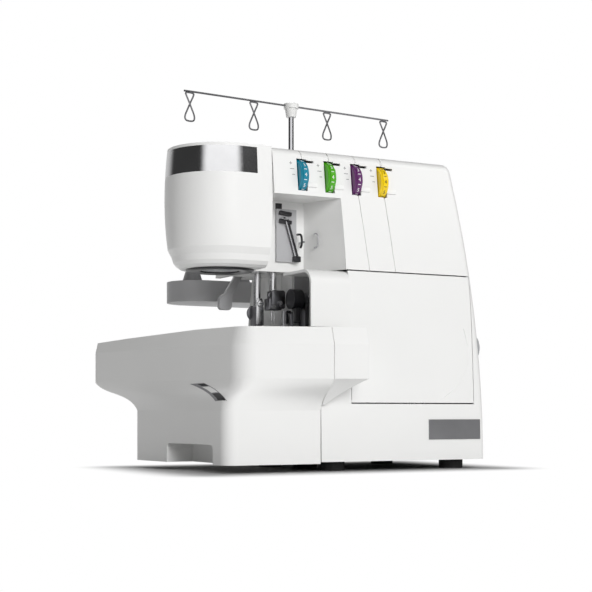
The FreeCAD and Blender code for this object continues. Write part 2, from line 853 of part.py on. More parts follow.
def make_bed():
    """The slide-on bed table with its cut-out for the free arm."""
    low = size("foot_height") + 1.0
    outer = bed_form(0.0, low)
    inner = bed_form(size("bed_wall"), low - 1, 2.0)
    gap = size("arm_gap")
    arm_slot = block(size("arm_left") - gap, FAR, size("arm_front") - gap, size("arm_rear") + gap,
                     size("arm_low") - gap, FAR)
    wall = size("bed_wall")
    back = size("bed_base_left") + size("notch_depth")
    roof = low + size("notch_height")
    notch = block(-FAR, back, size("notch_front"), size("notch_rear"), low - 1, roof)
    corners = [e for e in notch.Edges if e.BoundBox.XLength > FAR / 2 and e.CenterOfMass.z > low]
    notch = notch.makeFillet(size("notch_corner"), corners)
    liner = block(-FAR, back + wall, size("notch_front") - wall, size("notch_rear") + wall, low,
                  roof + wall)
    table = outer.cut(inner).fuse([bed_wing(), liner.common(outer)])
    body_clear = block(size("body_left") - size("seam_gap"), FAR, size("body_front") - size("seam_gap"),
                       FAR, -FAR, FAR)
    node("bed_table", solid("bed_table", table.cut(arm_slot).cut(notch).cut(body_clear).Solids[0]))


def make_free_arm():
    """The free arm's casing, its needle plate and the feed dogs under it."""
    arm = box("arm_block", "body_left - arm_left", "arm_rear - arm_front",
              "bed_top - plate_thick - arm_low",
              "arm_left", "arm_front", "arm_low")
    hollow = box("arm_hollow", "body_left - arm_left", "arm_rear - arm_front - 2 * wall",
                 "bed_top - plate_thick - arm_low - 2 * wall", "arm_left + wall", "arm_front + wall",
                 "arm_low + wall")
    hatch = box("arm_hatch", "plate_right - plate_left - 2 * bed_wall",
                "plate_rear - plate_front - 2 * bed_wall",
                "4 * wall", "plate_left + bed_wall", "plate_front + bed_wall",
                "bed_top - plate_thick - 2 * wall")
    node("free_arm", cut("free_arm", arm, hollow, hatch))
    plate = box("plate_block", "plate_right - plate_left", "plate_rear - plate_front", "plate_thick",
                "plate_left", "plate_front", "bed_top - plate_thick")
    slots = [box("needle_slot", "needle_pitch + 5", "8", "plate_thick + 2",
                 "needle_x - needle_pitch / 2 - 2.5",
                 "needle_y - 4", "bed_top - plate_thick - 1")]
    feed_y = "needle_y + 11"
    teeth = []
    for i in range(3):
        x = "needle_x - 1.6 * feed_pitch + %d * feed_pitch" % i
        slots.append(box("feed_slot_%d" % i, "feed_width + 1.4", "feed_length + 2 * feed_stroke + 2",
                         "plate_thick + 2",
                         x + " - 0.7", feed_y + " - feed_stroke - 1", "bed_top - plate_thick - 1"))
        teeth.append(box("feed_row_%d" % i, "feed_width", "feed_length", "2 * plate_thick + 1.4", x, feed_y,
                         "bed_top - 2 * plate_thick - 1.6"))
    node("needle_plate", cut("needle_plate", plate, *slots))
    carrier = box("feed_carrier", "2 * feed_pitch + feed_width", "feed_length", "4",
                  "needle_x - 1.6 * feed_pitch",
                  feed_y, "bed_top - 2 * plate_thick - 5.4")
    node("feed_dogs", fuse("feed_dogs", carrier, *teeth))


def bush(name, x, y, z, radius):
    """A guide bush round a bar, standing up."""
    outer = rod(name + "_outer", radius + " + fit + bush_wall", "bush_length", x, y, z)
    inner = rod(name + "_inner", radius + " + fit", "bush_length + 2", x, y, z + " - 1")
    return cut(name, outer, inner)


def make_needle_bar():
    """Needle bar with its clamp, needles and clamp screws."""
    node("needle_bar", rod("needle_bar", "needle_bar_radius", "needle_bar_high - needle_bar_low",
                           "needle_x", "needle_y", "needle_bar_low"))
    clamp_low = "needle_bar_low - clamp_height"
    clamp = box("clamp_block", "clamp_width", "clamp_depth", "clamp_height", "needle_x - clamp_width / 2",
                "needle_y - clamp_depth / 2", clamp_low)
    bores = []
    needles = []
    screws = []
    for i, side in enumerate((-0.5, 0.5)):
        at = "needle_x + %g * needle_pitch" % side
        bores.append(rod("clamp_bore_%d" % i, "needle_radius + fit", "clamp_height / 2 + 1", at, "needle_y",
                         clamp_low + " - 1"))
        shank = rod("needle_shank_%d" % i, "needle_radius",
                    clamp_low + " + clamp_height / 2 - needle_tip - 4", at,
                    "needle_y", "needle_tip + 4")
        point = cone("needle_point_%d" % i, "needle_radius * 0.2", "needle_radius", "4", at, "needle_y",
                     "needle_tip")
        needles.append(fuse("needle_%d" % i, shank, point))
        screws.append(rod("clamp_screw_%d" % i, "screw_radius", "screw_length",
                          "needle_x + %g * clamp_width / 2" % side,
                          "needle_y - clamp_depth / 2 - screw_length",
                          clamp_low + " + (%g + 1.1) * screw_length" % side, "y"))
    node("needle_clamp", cut("needle_clamp", clamp, *bores))
    node("needles", group("needles", *needles))
    node("needle_screws", group("needle_screws", *screws))


def make_presser():
    """Presser bar and foot, the bushes of both bars, and the bracket that holds them."""
    node("presser_bar", rod("presser_bar", "presser_bar_radius", "presser_bar_high - presser_bar_low",
                            "presser_x", "presser_y", "presser_bar_low"))
    ankle = box("ankle", "ankle_size", "ankle_size", "ankle_height", "presser_x - ankle_size / 2",
                "presser_y - ankle_size / 2", "presser_bar_low - ankle_height")
    sole_low = "bed_top + sole_gap"
    sole = box("sole", "sole_length / 2", "sole_length", "sole_thick", "presser_x - ankle_size / 2",
               "presser_y - 0.76 * sole_length", sole_low)
    shin = box("shin", "ankle_size - 2", "ankle_size - 2",
               "presser_bar_low - ankle_height + 1 - bed_top - sole_gap",
               "presser_x - ankle_size / 2 + 1", "presser_y - ankle_size / 2 + 1", sole_low)
    slot = box("sole_slot", "needle_pitch + 6", "13", "4 * sole_thick", "needle_x - needle_pitch / 2 - 3",
               "needle_y - 6",
               "bed_top - sole_thick")
    node("presser_foot", cut("presser_foot", fuse("presser_foot_form", ankle, sole, shin), slot))
    bushes = []
    holders = []
    for i, z in enumerate(("head_bottom + bush_rise", "head_bottom + bush_rise + bush_span")):
        bushes.append(bush("needle_bush_%d" % i, "needle_x", "needle_y", z, "needle_bar_radius"))
        bushes.append(bush("presser_bush_%d" % i, "presser_x", "presser_y", z, "presser_bar_radius"))
        holders.append(box("bracket_%d" % i, "needle_x - presser_x + 2.2 * bracket_margin",
                           "presser_y - needle_y + 2.2 * bracket_margin", "bush_length - 2",
                           "presser_x - bracket_margin", "needle_y - 0.65 * bracket_margin", z + " + 1"))
    node("bar_bushes", group("bar_bushes", *bushes))
    web = box("bracket_plate", "plate_a_x - presser_x + bracket_margin", "bracket_web",
              "bush_span + bush_length", "presser_x - bracket_margin", "presser_y + 1.2 * bracket_margin",
              "head_bottom + bush_rise")
    tall = "bush_span + 2 * bush_length"
    bores = [rod("bracket_bore_a", "needle_bar_radius + fit + bush_wall", tall, "needle_x", "needle_y",
                 "head_bottom + bush_rise"),
             rod("bracket_bore_b", "presser_bar_radius + fit + bush_wall", tall, "presser_x", "presser_y",
                 "head_bottom + bush_rise")]
    node("head_bracket", cut("head_bracket", fuse("head_bracket_form", web, *holders), *bores))


def make_lever():
    """The presser foot lever behind the head, on its pivot pin."""
    arm = box("lever_arm", "lever_width", "lever_thick", "lever_pivot_z - lever_low",
              "presser_x - lever_width / 2",
              "lever_pivot_y - lever_thick / 2", "lever_low")
    grip = box("lever_grip", "lever_grip_width", "2 * lever_thick", "lever_grip_height",
               "presser_x + lever_width / 2 - lever_grip_width", "lever_pivot_y - lever_thick / 2",
               "lever_low")
    boss = rod("lever_boss", "lever_boss_radius", "lever_width", "presser_x - lever_width / 2",
               "lever_pivot_y",
               "lever_pivot_z", "x")
    bore = rod("lever_bore", "lever_pin_radius + fit", "lever_width + 2", "presser_x - lever_width / 2 - 1",
               "lever_pivot_y", "lever_pivot_z", "x")
    node("presser_lever", cut("presser_lever", fuse("presser_lever_form", arm, grip, boss), bore))
    node("lever_pin", rod("lever_pin", "lever_pin_radius", "plate_a_x - presser_x + lever_width / 2 + 3",
                          "presser_x - lever_width / 2 - 3", "lever_pivot_y", "lever_pivot_z", "x"))


def make_frame():
    """The cast frame: a floor beam and upright plates for shaft, motor, head bracket and loopers."""
    beam_low = "foot_height + 2 * wall + seam_gap"
    pieces = [
        box("frame_beam", "plate_b_x + frame_plate - plate_a_x", "beam_rear - beam_front", "frame_plate",
            "plate_a_x",
            "beam_front", beam_low),
        box("plate_foot", "frame_plate", "plate_foot_rear - plate_front_y", "plate_foot_top - frame_low",
            "plate_a_x",
            "plate_front_y", "frame_low"),
        box("plate_middle", "frame_plate", "plate_mid_rear - plate_front_y", "plate_mid_top - frame_low",
            "plate_a_x",
            "plate_front_y", "frame_low"),
        box("plate_neck", "frame_plate", "plate_top_rear - plate_front_y",
            "body_top - dial_drop - rail_height / 2 - frame_low", "plate_a_x",
            "plate_front_y", "frame_low"),
        box("plate_motor", "frame_plate", "motor_plate_rear - motor_plate_front",
            "motor_plate_top - frame_low",
            "plate_b_x", "motor_plate_front", "frame_low"),
        box("plate_looper", "looper_plate_right - looper_plate_left", "looper_plate_thick",
            "looper_plate_top - frame_low",
            "looper_plate_left", "looper_plate_y", "frame_low"),
    ]
    for name, x, z in LOOPERS:
        pieces.append(rod(name + "_pin", "looper_pin", "looper_thick + 2", x,
                          "looper_plate_y - looper_thick - 2", z, "y"))
    bores = [rod("frame_motor_bore", "motor_shaft_radius + 1", "frame_plate + 2", "plate_b_x - 1",
                 "motor_y", "motor_z", "x")]
    sleeves = []
    for i, x in enumerate(("plate_a_x", "plate_b_x")):
        bores.append(rod("frame_bore_%d" % i, "shaft_radius + fit + bush_wall", "frame_plate + 2",
                         x + " - 1", "shaft_y",
                         "shaft_z", "x"))
        outer = rod("sleeve_outer_%d" % i, "shaft_radius + fit + bush_wall", "frame_plate", x, "shaft_y",
                    "shaft_z", "x")
        inner = rod("sleeve_inner_%d" % i, "shaft_radius + fit", "frame_plate + 2", x + " - 1", "shaft_y",
                    "shaft_z", "x")
        sleeves.append(cut("sleeve_%d" % i, outer, inner))
    node("main_frame", cut("main_frame", fuse("main_frame_form", *pieces), *bores))
    node("shaft_bearings", group("shaft_bearings", *sleeves))


LOOPERS = (("lower_looper", "looper_low_x", "looper_low_z"), ("upper_looper", "looper_high_x",
                                                              "looper_high_z"))


def make_loopers():
    """Two looper arms that rock on the frame's pins, each with a thin beak that points to the needles."""
    for name, x, z in LOOPERS:
        y = "looper_plate_y - looper_thick - trim_gap"
        boss = rod(name + "_boss", "looper_boss", "looper_thick", x, y, z, "y")
        stem = box(name + "_stem", "looper_thick", "looper_thick", "looper_rise", x + " - looper_thick / 2",
                   y, z)
        beak = box(name + "_beak", "looper_reach - looper_thick", "looper_thick", "looper_thick",
                   x + " + looper_thick / 2 - looper_reach + looper_thick", y,
                   z + " + looper_rise - looper_thick")
        tip = cone(name + "_tip", "looper_thick * 0.15", "looper_thick * 0.5", "looper_thick * 2",
                   x + " + looper_thick / 2 - looper_reach - looper_thick", y + " + looper_thick / 2",
                   z + " + looper_rise - looper_thick / 2", "x")
        bore = rod(name + "_bore", "looper_pin + fit", "looper_thick + 2", x, y + " - 1", z, "y")
        node(name, cut(name, fuse(name + "_form", boss, stem, beak, tip), bore))


def make_drive():
    """Main shaft with its pulley and handwheel, and the motor with its pulley and belt."""
    node("main_shaft", rod("main_shaft", "shaft_radius",
                           "body_right + wheel_gap + wheel_thick - wall - shaft_left",
                           "shaft_left", "shaft_y", "shaft_z", "x"))
    wheel_x = "body_right + wheel_gap"
    disc = rod("wheel_disc", "wheel_radius", "wheel_thick", wheel_x, "shaft_y", "shaft_z", "x")
    dish = cone("wheel_dish", "wheel_radius * 0.72", "wheel_radius * 0.82", "wheel_thick * 0.36",
                wheel_x + " + wheel_thick * 0.7",
                "shaft_y", "shaft_z", "x")
    hole = rod("wheel_hole", "shaft_radius + fit", "wheel_thick + 2", wheel_x + " - 1", "shaft_y",
               "shaft_z", "x")
    grips = []
    for i in range(12):
        turn = 2 * math.pi * i / 12
        grips.append(rod("wheel_grip_%d" % i, "wheel_radius * 0.09", "wheel_thick + 2", wheel_x + " - 1",
                         "shaft_y + wheel_radius * %.5f" % (1.045 * math.cos(turn)),
                         "shaft_z + wheel_radius * %.5f" % (1.045 * math.sin(turn)), "x"))
    node("handwheel", cut("handwheel", disc, dish, hole, *grips))
    ring = rod("pulley_disc", "pulley_radius", "pulley_width", "pulley_x", "shaft_y", "shaft_z", "x")
    bore = rod("pulley_bore", "shaft_radius + fit", "pulley_width + 2", "pulley_x - 1", "shaft_y",
               "shaft_z", "x")
    node("shaft_pulley", cut("shaft_pulley", ring, bore))
    node("motor", rod("motor", "motor_radius", "motor_length", "plate_b_x - motor_length", "motor_y",
                      "motor_z", "x"))
    stem = rod("motor_stem", "motor_shaft_radius", "pulley_x + pulley_width - plate_b_x - trim_gap",
               "plate_b_x + trim_gap",
               "motor_y", "motor_z", "x")
    wheel = rod("motor_wheel", "motor_pulley_radius", "pulley_width", "pulley_x", "motor_y", "motor_z", "x")
    node("motor_pulley", fuse("motor_pulley", stem, wheel))
    node("drive_belt", solid("drive_belt", belt_loop(size("belt_thick")).cut(belt_loop(0.0))))


def belt_loop(extra):
    """The area inside a belt round the two pulleys, as a solid; extra is added to the running gap."""
    big = size("pulley_radius") + size("trim_gap") + extra
    small = size("motor_pulley_radius") + size("trim_gap") + extra
    inset = 0.11 * size("pulley_width")
    a = V(size("pulley_x") + inset, size("shaft_y"), size("shaft_z"))
    b = V(size("pulley_x") + inset, size("motor_y"), size("motor_z"))
    along = b - a
    tilt = math.asin((big - small) / along.Length)
    along.normalize()
    side = V(0, -along.z, along.y)
    up = along * math.sin(tilt) + side * math.cos(tilt)
    down = along * math.sin(tilt) - side * math.cos(tilt)
    edges = [
        arc(a + up * big, a - along * big, a + down * big),
        line(a + down * big, b + down * small),
        arc(b + down * small, b + along * small, b + up * small),
        line(b + up * small, a + up * big),
    ]
    return Part.Face(Part.Wire(edges)).extrude(V(size("pulley_width") - 2 * inset, 0, 0))


DIAL_NAMES = ("left_needle_dial", "right_needle_dial", "upper_looper_dial", "lower_looper_dial")


def make_tension():
    """Four tension dials on one fixed spindle carrier, with a disc pair beside each."""
    y = "%.3f" % dial_axis_y()
    rail_y = y + " + dial_radius + wall"
    pieces = [
        box("tension_rail", "3 * dial_pitch + 2.5 * dial_width", "rail_thick", "rail_height",
            "dial_x - slot_gap", rail_y,
            "body_top - dial_drop - rail_height / 2"),
        box("tension_arm", "frame_plate", "plate_top_rear - (%s)" % rail_y, "rail_height / 2", "plate_a_x",
            rail_y,
            "body_top - dial_drop - rail_height / 2"),
    ]
    discs = []
    for i, name in enumerate(DIAL_NAMES):
        x = "dial_x + %d * dial_pitch" % i
        drum = rod(name + "_drum", "dial_radius", "dial_width", x, y, "body_top - dial_drop", "x")
        hole = rod(name + "_hole", "dial_spindle + fit", "dial_width + 2", x + " - 1", y,
                   "body_top - dial_drop", "x")
        node(name, cut(name, drum, hole))
        side = x + " + dial_width + slot_gap"
        post_x = side + " + 3 * disc_thick + 2 * disc_gap"
        pieces.append(rod("spindle_%d" % i, "dial_spindle",
                          "dial_width + 2 * slot_gap + 3 * disc_thick + 2 * disc_gap",
                          x, y, "body_top - dial_drop", "x"))
        pieces.append(box("post_%d" % i, "post_thick", "dial_radius + wall + rail_thick + dial_spindle",
                          "post_height", post_x,
                          y + " - dial_spindle", "body_top - dial_drop - post_height / 2"))
        for k in range(2):
            disc_x = side + " + %d * (disc_thick + disc_gap)" % k
            outer = rod("disc_%d%d" % (i, k), "disc_radius", "disc_thick", disc_x, y,
                        "body_top - dial_drop", "x")
            inner = rod("disc_eye_%d%d" % (i, k), "dial_spindle + fit", "disc_thick + 2", disc_x + " - 1",
                        y, "body_top - dial_drop", "x")
            discs.append(cut("tension_disc_%d%d" % (i, k), outer, inner))
    node("tension_carrier", fuse("tension_carrier", *pieces))
    node("tension_discs", group("tension_discs", *discs))


def stand_plate(inset, low, height):
    """A round-ended plate of the spool stand's plan."""
    r = size("stand_depth") / 2
    reach = size("stand_half") - r
    cx = size("stand_x")
    cy = size("stand_front") + r
    r -= inset
    edges = [
        arc(V(cx - reach, cy + r, low), V(cx - reach - r, cy, low), V(cx - reach, cy - r, low)),
        line(V(cx - reach, cy - r, low), V(cx + reach, cy - r, low)),
        arc(V(cx + reach, cy - r, low), V(cx + reach + r, cy, low), V(cx + reach, cy + r, low)),
        line(V(cx + reach, cy + r, low), V(cx - reach, cy + r, low)),
    ]
    return Part.Face(Part.Wire(edges)).extrude(V(0, 0, height))


def make_spool_stand():
    """Spool stand behind the casing, with its pins, cone holders and felts."""
    z = size("stand_z")
    tray = stand_plate(0.0, z, size("stand_thick"))
    tray = tray.cut(stand_plate(size("stand_rim"), z + size("stand_floor"), size("stand_thick")))
    half = size("stand_neck") / 2
    neck = block(size("stand_x") - half, size("stand_x") + half, 0, size("stand_front") + size("stand_rim"),
                 z,
                 z + 3 * size("stand_floor"))
    pole_hole = Part.makeCylinder(size("pole_radius") + size("fit"), 4 * size("stand_thick"),
                                  V(size("stand_x"), size("pole_y"), z - size("stand_thick")))
    tray = tray.fuse(neck).cut(body_form(-size("trim_gap"))).cut(pole_hole)
    node("spool_stand", solid("spool_stand", tray))
    y = "stand_front + stand_depth - stand_seat"
    seat = "stand_z + stand_floor"
    pins = []
    holders = []
    felts = []
    for i, x in enumerate(("- stand_half + spool_margin", "- spool_inner", "+ spool_inner",
                           "+ stand_half - spool_margin")):
        x = "stand_x " + x
        pins.append(rod("spool_pin_%d" % i, "pin_radius", "pin_height", x, y, seat))
        skirt = cone("holder_skirt_%d" % i, "holder_low", "holder_high", "holder_height", x, y,
                     seat + " + felt_thick")
        core = rod("holder_core_%d" % i, "pin_radius + fit", "holder_height + 2", x, y,
                   seat + " + felt_thick - 1")
        holders.append(cut("holder_%d" % i, skirt, core))
        felt = rod("felt_disc_%d" % i, "felt_radius", "felt_thick", x, y, seat)
        eye = rod("felt_eye_%d" % i, "pin_radius + fit", "felt_thick + 2", x, y, seat + " - 1")
        felts.append(cut("felt_%d" % i, felt, eye))
    node("spool_pins", group("spool_pins", *pins))
    node("spool_holders", group("spool_holders", *holders))
    node("spool_felts", group("spool_felts", *felts))


def wire_tube(points, bends, radius):
    """A round wire along straight runs that are joined by tangent arcs."""
    edges = []
    last = points[0]
    for i in range(1, len(points) - 1):
        here = points[i]
        before = points[i - 1] - here
        after = points[i + 1] - here
        before.normalize()
        after.normalize()
        half = before.getAngle(after) / 2
        middle = before + after
        middle.normalize()
        start = here + before * (bends[i - 1] / math.tan(half))
        end = here + after * (bends[i - 1] / math.tan(half))
        crest = here + middle * (bends[i - 1] / math.sin(half) - bends[i - 1])
        edges.append(line(last, start))
        edges.append(arc(start, crest, end))
        last = end
    edges.append(line(last, points[-1]))
    path = Part.Wire(edges)
    ring = Part.Wire([Part.Circle(points[0], points[1] - points[0], radius).toShape()])
    return path.makePipeShell([ring], True, False).Solids[0]


def thread_hook(x):
    """A hook of wire in a figure of eight, fixed under the bar: a narrow neck loop and a wider eye below."""
    wire = size("hook_wire")
    neck = size("hook_neck")
    eye = size("hook_width") / 2 - wire
    y = size("pole_y")
    top = size("bar_z") - size("bar_radius") - wire - size("fit")
    low = top - size("hook_length") + 2 * wire
    cross = 1.3 * wire
    upper = top - size("hook_length") * 0.3
    lower = top - size("hook_length") * 0.58
    points = [V(x - neck, y, upper + 3.2), V(x - neck, y, top), V(x + neck, y, top),
              V(x + neck, y + cross, upper), V(x - eye, y + cross, lower), V(x - eye, y, low),
              V(x + eye, y, low), V(x + eye, y - cross, lower), V(x - neck, y - cross, upper)]
    return wire_tube(points, (2.6, 2.6, 3.6, 3.6, 3.6, 3.6, 3.6), wire)


def bar_rod(name, radius, reach):
    """A rod through the pole's axis at the bar's height, along the bar's skew line, to a reach either way."""
    obj = doc.addObject("Part::Cylinder", name)
    bind(obj, Radius=radius, Height="2 * (%s) * sqrt(1 + (bar_skew / bar_half) ^ 2)" % reach)
    axis = V(-size("bar_skew"), size("bar_half"), 0)
    return place(obj, "stand_x - (%s)" % reach, "pole_y - (%s) * bar_skew / bar_half" % reach, "bar_z",
                 axis, 90)


def make_pole():
    """The telescopic pole with its cap, and the thread guide bar with four hooks."""
    base = "stand_z - stand_floor"
    tube = rod("pole_outer", "pole_radius", "pole_top - (%s)" % base, "stand_x", "pole_y", base)
    core = rod("pole_inner", "rod_radius + fit", "pole_top - stand_z + stand_floor + 2", "stand_x",
               "pole_y", base + " - 1")
    node("pole_tube", cut("pole_tube", tube, core))
    cap_low = "bar_z + bar_radius + 1.2 - cap_height"
    node("pole_rod", rod("pole_rod", "rod_radius", "bar_z - cap_height * 0.6 - rod_low", "stand_x",
                         "pole_y", "rod_low"))
    neck = cone("cap_neck", "cap_radius * 0.66", "cap_radius * 0.84", "cap_height * 0.65", "stand_x",
                "pole_y", cap_low)
    crown = rod("cap_crown", "cap_radius", "cap_height * 0.35", "stand_x", "pole_y",
                cap_low + " + cap_height * 0.65")
    socket = rod("cap_socket", "rod_radius + fit", "bar_z - cap_height * 0.6 - rod_low", "stand_x",
                 "pole_y", "rod_low")
    channel = bar_rod("cap_channel", "bar_radius + fit", "2 * cap_radius")
    node("pole_cap", cut("pole_cap", fuse("pole_cap_form", neck, crown), socket, channel))
    node("guide_bar", bar_rod("guide_bar", "bar_radius", "bar_half"))
    places = (-size("hook_outer"), -size("hook_inner"), size("hook_inner"), size("hook_outer"))
    hooks = Part.Compound([thread_hook(size("stand_x") + x) for x in places])
    skew = math.degrees(math.atan2(size("bar_skew"), size("bar_half")))
    hooks.rotate(V(size("stand_x"), size("pole_y"), 0), V(0, 0, 1), skew)
    node("thread_hooks", solid("thread_hooks", hooks))


def make_trim():
    """Guide plate and wire guides in the niche, the bare badge plate, and the right side's controls."""
    node("guide_plate", box("guide_plate", "guide_plate_right - guide_plate_left", "guide_plate_thick",
                            "guide_plate_high - guide_plate_low", "guide_plate_left",
                            "niche_back - guide_plate_thick",
                            "guide_plate_low"))
    guides = [
        rod("guide_upper", "guide_wire", "guide_reach", "guide_plate_left + 0.4 * guide_reach",
            "niche_back - guide_plate_thick - guide_reach", "guide_plate_high - guide_reach", "y"),
        rod("guide_middle", "guide_wire", "guide_reach", "guide_plate_right + guide_reach / 2",
            "niche_back - guide_reach",
            "guide_plate_low + guide_reach * 2", "y"),
    ]
    node("niche_guides", group("niche_guides", *guides))
    thick = size("badge_thick")
    badge = body_form(-thick).cut(body_form(0.0))
    badge = badge.common(block(size("badge_left"), size("badge_right"), -FAR, 0, size("badge_low"),
                               size("badge_high")))
    node("badge_plate", solid("badge_plate", badge))
    housing = box("inlet_block", "inlet_face - inlet_left", "inlet_rear - inlet_front - 2 * trim_gap",
                  "inlet_high - inlet_low - 2 * trim_gap", "inlet_left", "inlet_front + trim_gap",
                  "inlet_low + trim_gap")
    middle = "(inlet_front + inlet_rear) / 2"
    window = box("switch_window", "inlet_face - inlet_left", "switch_width + 2 * trim_gap",
                 "switch_height + 2 * trim_gap",
                 "inlet_left + wall", middle + " - switch_width / 2 - trim_gap",
                 "switch_z - switch_height / 2 - trim_gap")
    socket = box("inlet_socket", "socket_depth + 1", "switch_width", "1.1 * switch_height",
                 "inlet_face - socket_depth",
                 middle + " - switch_width / 2", "inlet_low + wall")
    blades = [box("inlet_pin_%d" % i, "socket_depth - 1", "1.5", "4", "inlet_face - socket_depth",
                  middle + " + %g * switch_width / 4 - 0.75" % side, "inlet_low + wall + switch_height / 3")
              for i, side in enumerate((-1, 1))]
    node("power_inlet", fuse("power_inlet", cut("inlet_housing", housing, window, socket), *blades))
    rocker = rod("switch_drum", "switch_height / 2", "switch_width", "inlet_face - switch_height / 2 + 2",
                 middle + " - switch_width / 2", "switch_z", "y")
    node("power_switch", rocker)
    spindle = rod("stitch_stem", "stitch_spindle", "body_right - looper_right + wheel_gap", "looper_right",
                  "stitch_y", "stitch_z", "x")
    knob = rod("stitch_knob", "stitch_radius", "stitch_thick", "body_right", "stitch_y", "stitch_z", "x")
    node("stitch_dial", fuse("stitch_dial", spindle, knob))


def write_parts():
    """Checks every object and writes each named sub-part to its own file."""
    doc.recompute()
    failed = [o.Name for o in doc.Objects if "Invalid" in o.State or "Error" in o.State]
    if failed:
        raise RuntimeError("objects not rebuilt: " + ", ".join(failed))
    for label, obj in NODES.items():
        if obj.Shape.isNull() or not obj.Shape.isValid():
            raise RuntimeError("shape not valid: " + label)
    os.makedirs("parts", exist_ok=True)
    for label, obj in NODES.items():
        obj.Shape.exportStep("parts/%s.step" % label)
        print(label, len(obj.Shape.Solids), "solids", round(obj.Shape.Volume), "mm3")


fill_sheet()
make_casings()
make_hood()
make_head()
make_bed()
make_free_arm()
make_needle_bar()
make_presser()
make_lever()
make_frame()
make_loopers()
make_drive()
make_tension()
make_spool_stand()
make_pole()
make_trim()
write_parts()
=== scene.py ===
"""Looks of a household serger: finishes for every solid, and the small pieces that dress them."""
import math
import bmesh
import bpy
from mathutils import Matrix, Vector


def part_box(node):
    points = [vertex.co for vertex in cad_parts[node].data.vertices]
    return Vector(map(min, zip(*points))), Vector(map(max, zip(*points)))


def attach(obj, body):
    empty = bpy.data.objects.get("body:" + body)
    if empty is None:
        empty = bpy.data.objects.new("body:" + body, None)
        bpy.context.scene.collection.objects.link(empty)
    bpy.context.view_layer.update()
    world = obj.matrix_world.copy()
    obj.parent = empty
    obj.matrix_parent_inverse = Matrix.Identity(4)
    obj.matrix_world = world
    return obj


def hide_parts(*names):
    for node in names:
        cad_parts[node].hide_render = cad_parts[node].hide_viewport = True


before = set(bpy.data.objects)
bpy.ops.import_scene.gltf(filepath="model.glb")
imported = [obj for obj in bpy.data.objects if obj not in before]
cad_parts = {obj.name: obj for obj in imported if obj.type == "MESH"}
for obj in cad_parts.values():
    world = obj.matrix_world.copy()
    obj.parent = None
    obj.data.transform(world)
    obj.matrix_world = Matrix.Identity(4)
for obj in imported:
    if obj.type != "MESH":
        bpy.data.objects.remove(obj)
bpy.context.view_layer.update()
scene = bpy.context.scene
MM = 0.001


class Wire:
    """A socket's output that takes part in Python sums."""

    def __init__(self, graph, socket):
        self.graph = graph
        self.socket = socket

    def math(self, operation, other, swap=False):
        """A sum of this output and another value, the other way round if swapped."""
        first, second = (other, self) if swap else (self, other)
        return self.graph.node("ShaderNodeMath", {"operation": operation}, {0: first, 1: second})

    def __add__(self, other):
        return self.math("ADD", other)

    def __rsub__(self, other):
        return self.math("SUBTRACT", other, swap=True)

    def __mul__(self, other):
        return self.math("MULTIPLY", other)


class Graph:
    """A node tree that is built up node by node."""

    def __init__(self, tree):
        self.tree = tree

    def node(self, kind, settings, inputs, output=0):
        """Adds a node, sets it up, feeds its sockets and returns one of its outputs."""
        made = self.tree.nodes.new(kind)
        for name, value in settings.items():
            setattr(made, name, value)
        for name, value in inputs.items():
            self.feed(made.inputs[name], value)
        return Wire(self, made.outputs[output])

    def feed(self, socket, value):
        """Links a wire to a socket, or sets the socket's own value."""
        if isinstance(value, Wire):
            self.tree.links.new(value.socket, socket)
        else:
            socket.default_value = value

    def fade(self, value, start, stop, low=0.0, high=1.0):
        """Goes smoothly from low to high as a value goes from start to stop."""
        return self.node("ShaderNodeMapRange", {"interpolation_type": "SMOOTHSTEP"},
                         {0: value, 1: start, 2: stop, 3: low, 4: high})


class Finish(Graph):
    """One material: its nodes, and the principled shader that they end in."""

    def __init__(self, name):
        self.material = bpy.data.materials.new(name)
        self.material.use_nodes = True
        super().__init__(self.material.node_tree)
        self.shader = self.tree.nodes["Principled BSDF"]

    def set(self, **values):
        """Feeds the shader's own sockets; a name's underscores stand for spaces."""
        for name, value in values.items():
            self.feed(self.shader.inputs[name.replace("_", " ")], value)

    def place(self, scale=(1, 1, 1), move=(0, 0, 0)):
        """Object coordinates, in metres, scaled and moved."""
        where = self.node("ShaderNodeTexCoord", {}, {}, "Object")
        return self.node("ShaderNodeMapping", {}, {"Vector": where, "Scale": scale, "Location": move})

    def noise(self, scale, detail, stretch=(1, 1, 1)):
        """Soft noise, which may be drawn out along an axis."""
        settings = {"Vector": self.place(stretch), "Scale": scale, "Detail": detail}
        return self.node("ShaderNodeTexNoise", {}, settings)

    def cells(self, scale):
        """Round cells, for grain and pits."""
        return self.node("ShaderNodeTexVoronoi", {}, {"Vector": self.place(), "Scale": scale})

    def tone(self, value, colour, dark, light):
        """A colour that goes from dark to light along a value; each is a place and a share of the colour."""
        made = self.node("ShaderNodeValToRGB", {}, {"Fac": value})
        for element, (place, share) in zip(made.socket.node.color_ramp.elements, (dark, light)):
            element.position = place
            element.color = [min(channel * share, 1.0) for channel in colour] + [1.0]
        return made

    def bump(self, height, strength, distance):
        """A normal that follows a height; the distance is in metres."""
        return self.node("ShaderNodeBump", {}, {"Height": height, "Strength": strength, "Distance": distance})


def moulded(name, colour, rough, coat=0.0, spread=0.05):
    """Injection-moulded plastic: a fine spark grain, soft clouding of tone and uneven gloss."""
    f = Finish(name)
    cloud = f.noise(scale=9.0, detail=4.0)
    gloss = f.noise(scale=38.0, detail=2.0)
    f.set(Base_Color=f.tone(cloud, colour, dark=(0.3, 1 - spread), light=(0.7, 1 + spread)),
          Roughness=gloss * 0.1 + (rough - 0.05),
          Normal=f.bump(f.cells(scale=2600.0), strength=0.06, distance=0.00006))
    if coat:
        f.set(Coat_Weight=coat, Coat_Roughness=0.12)
    return f.material


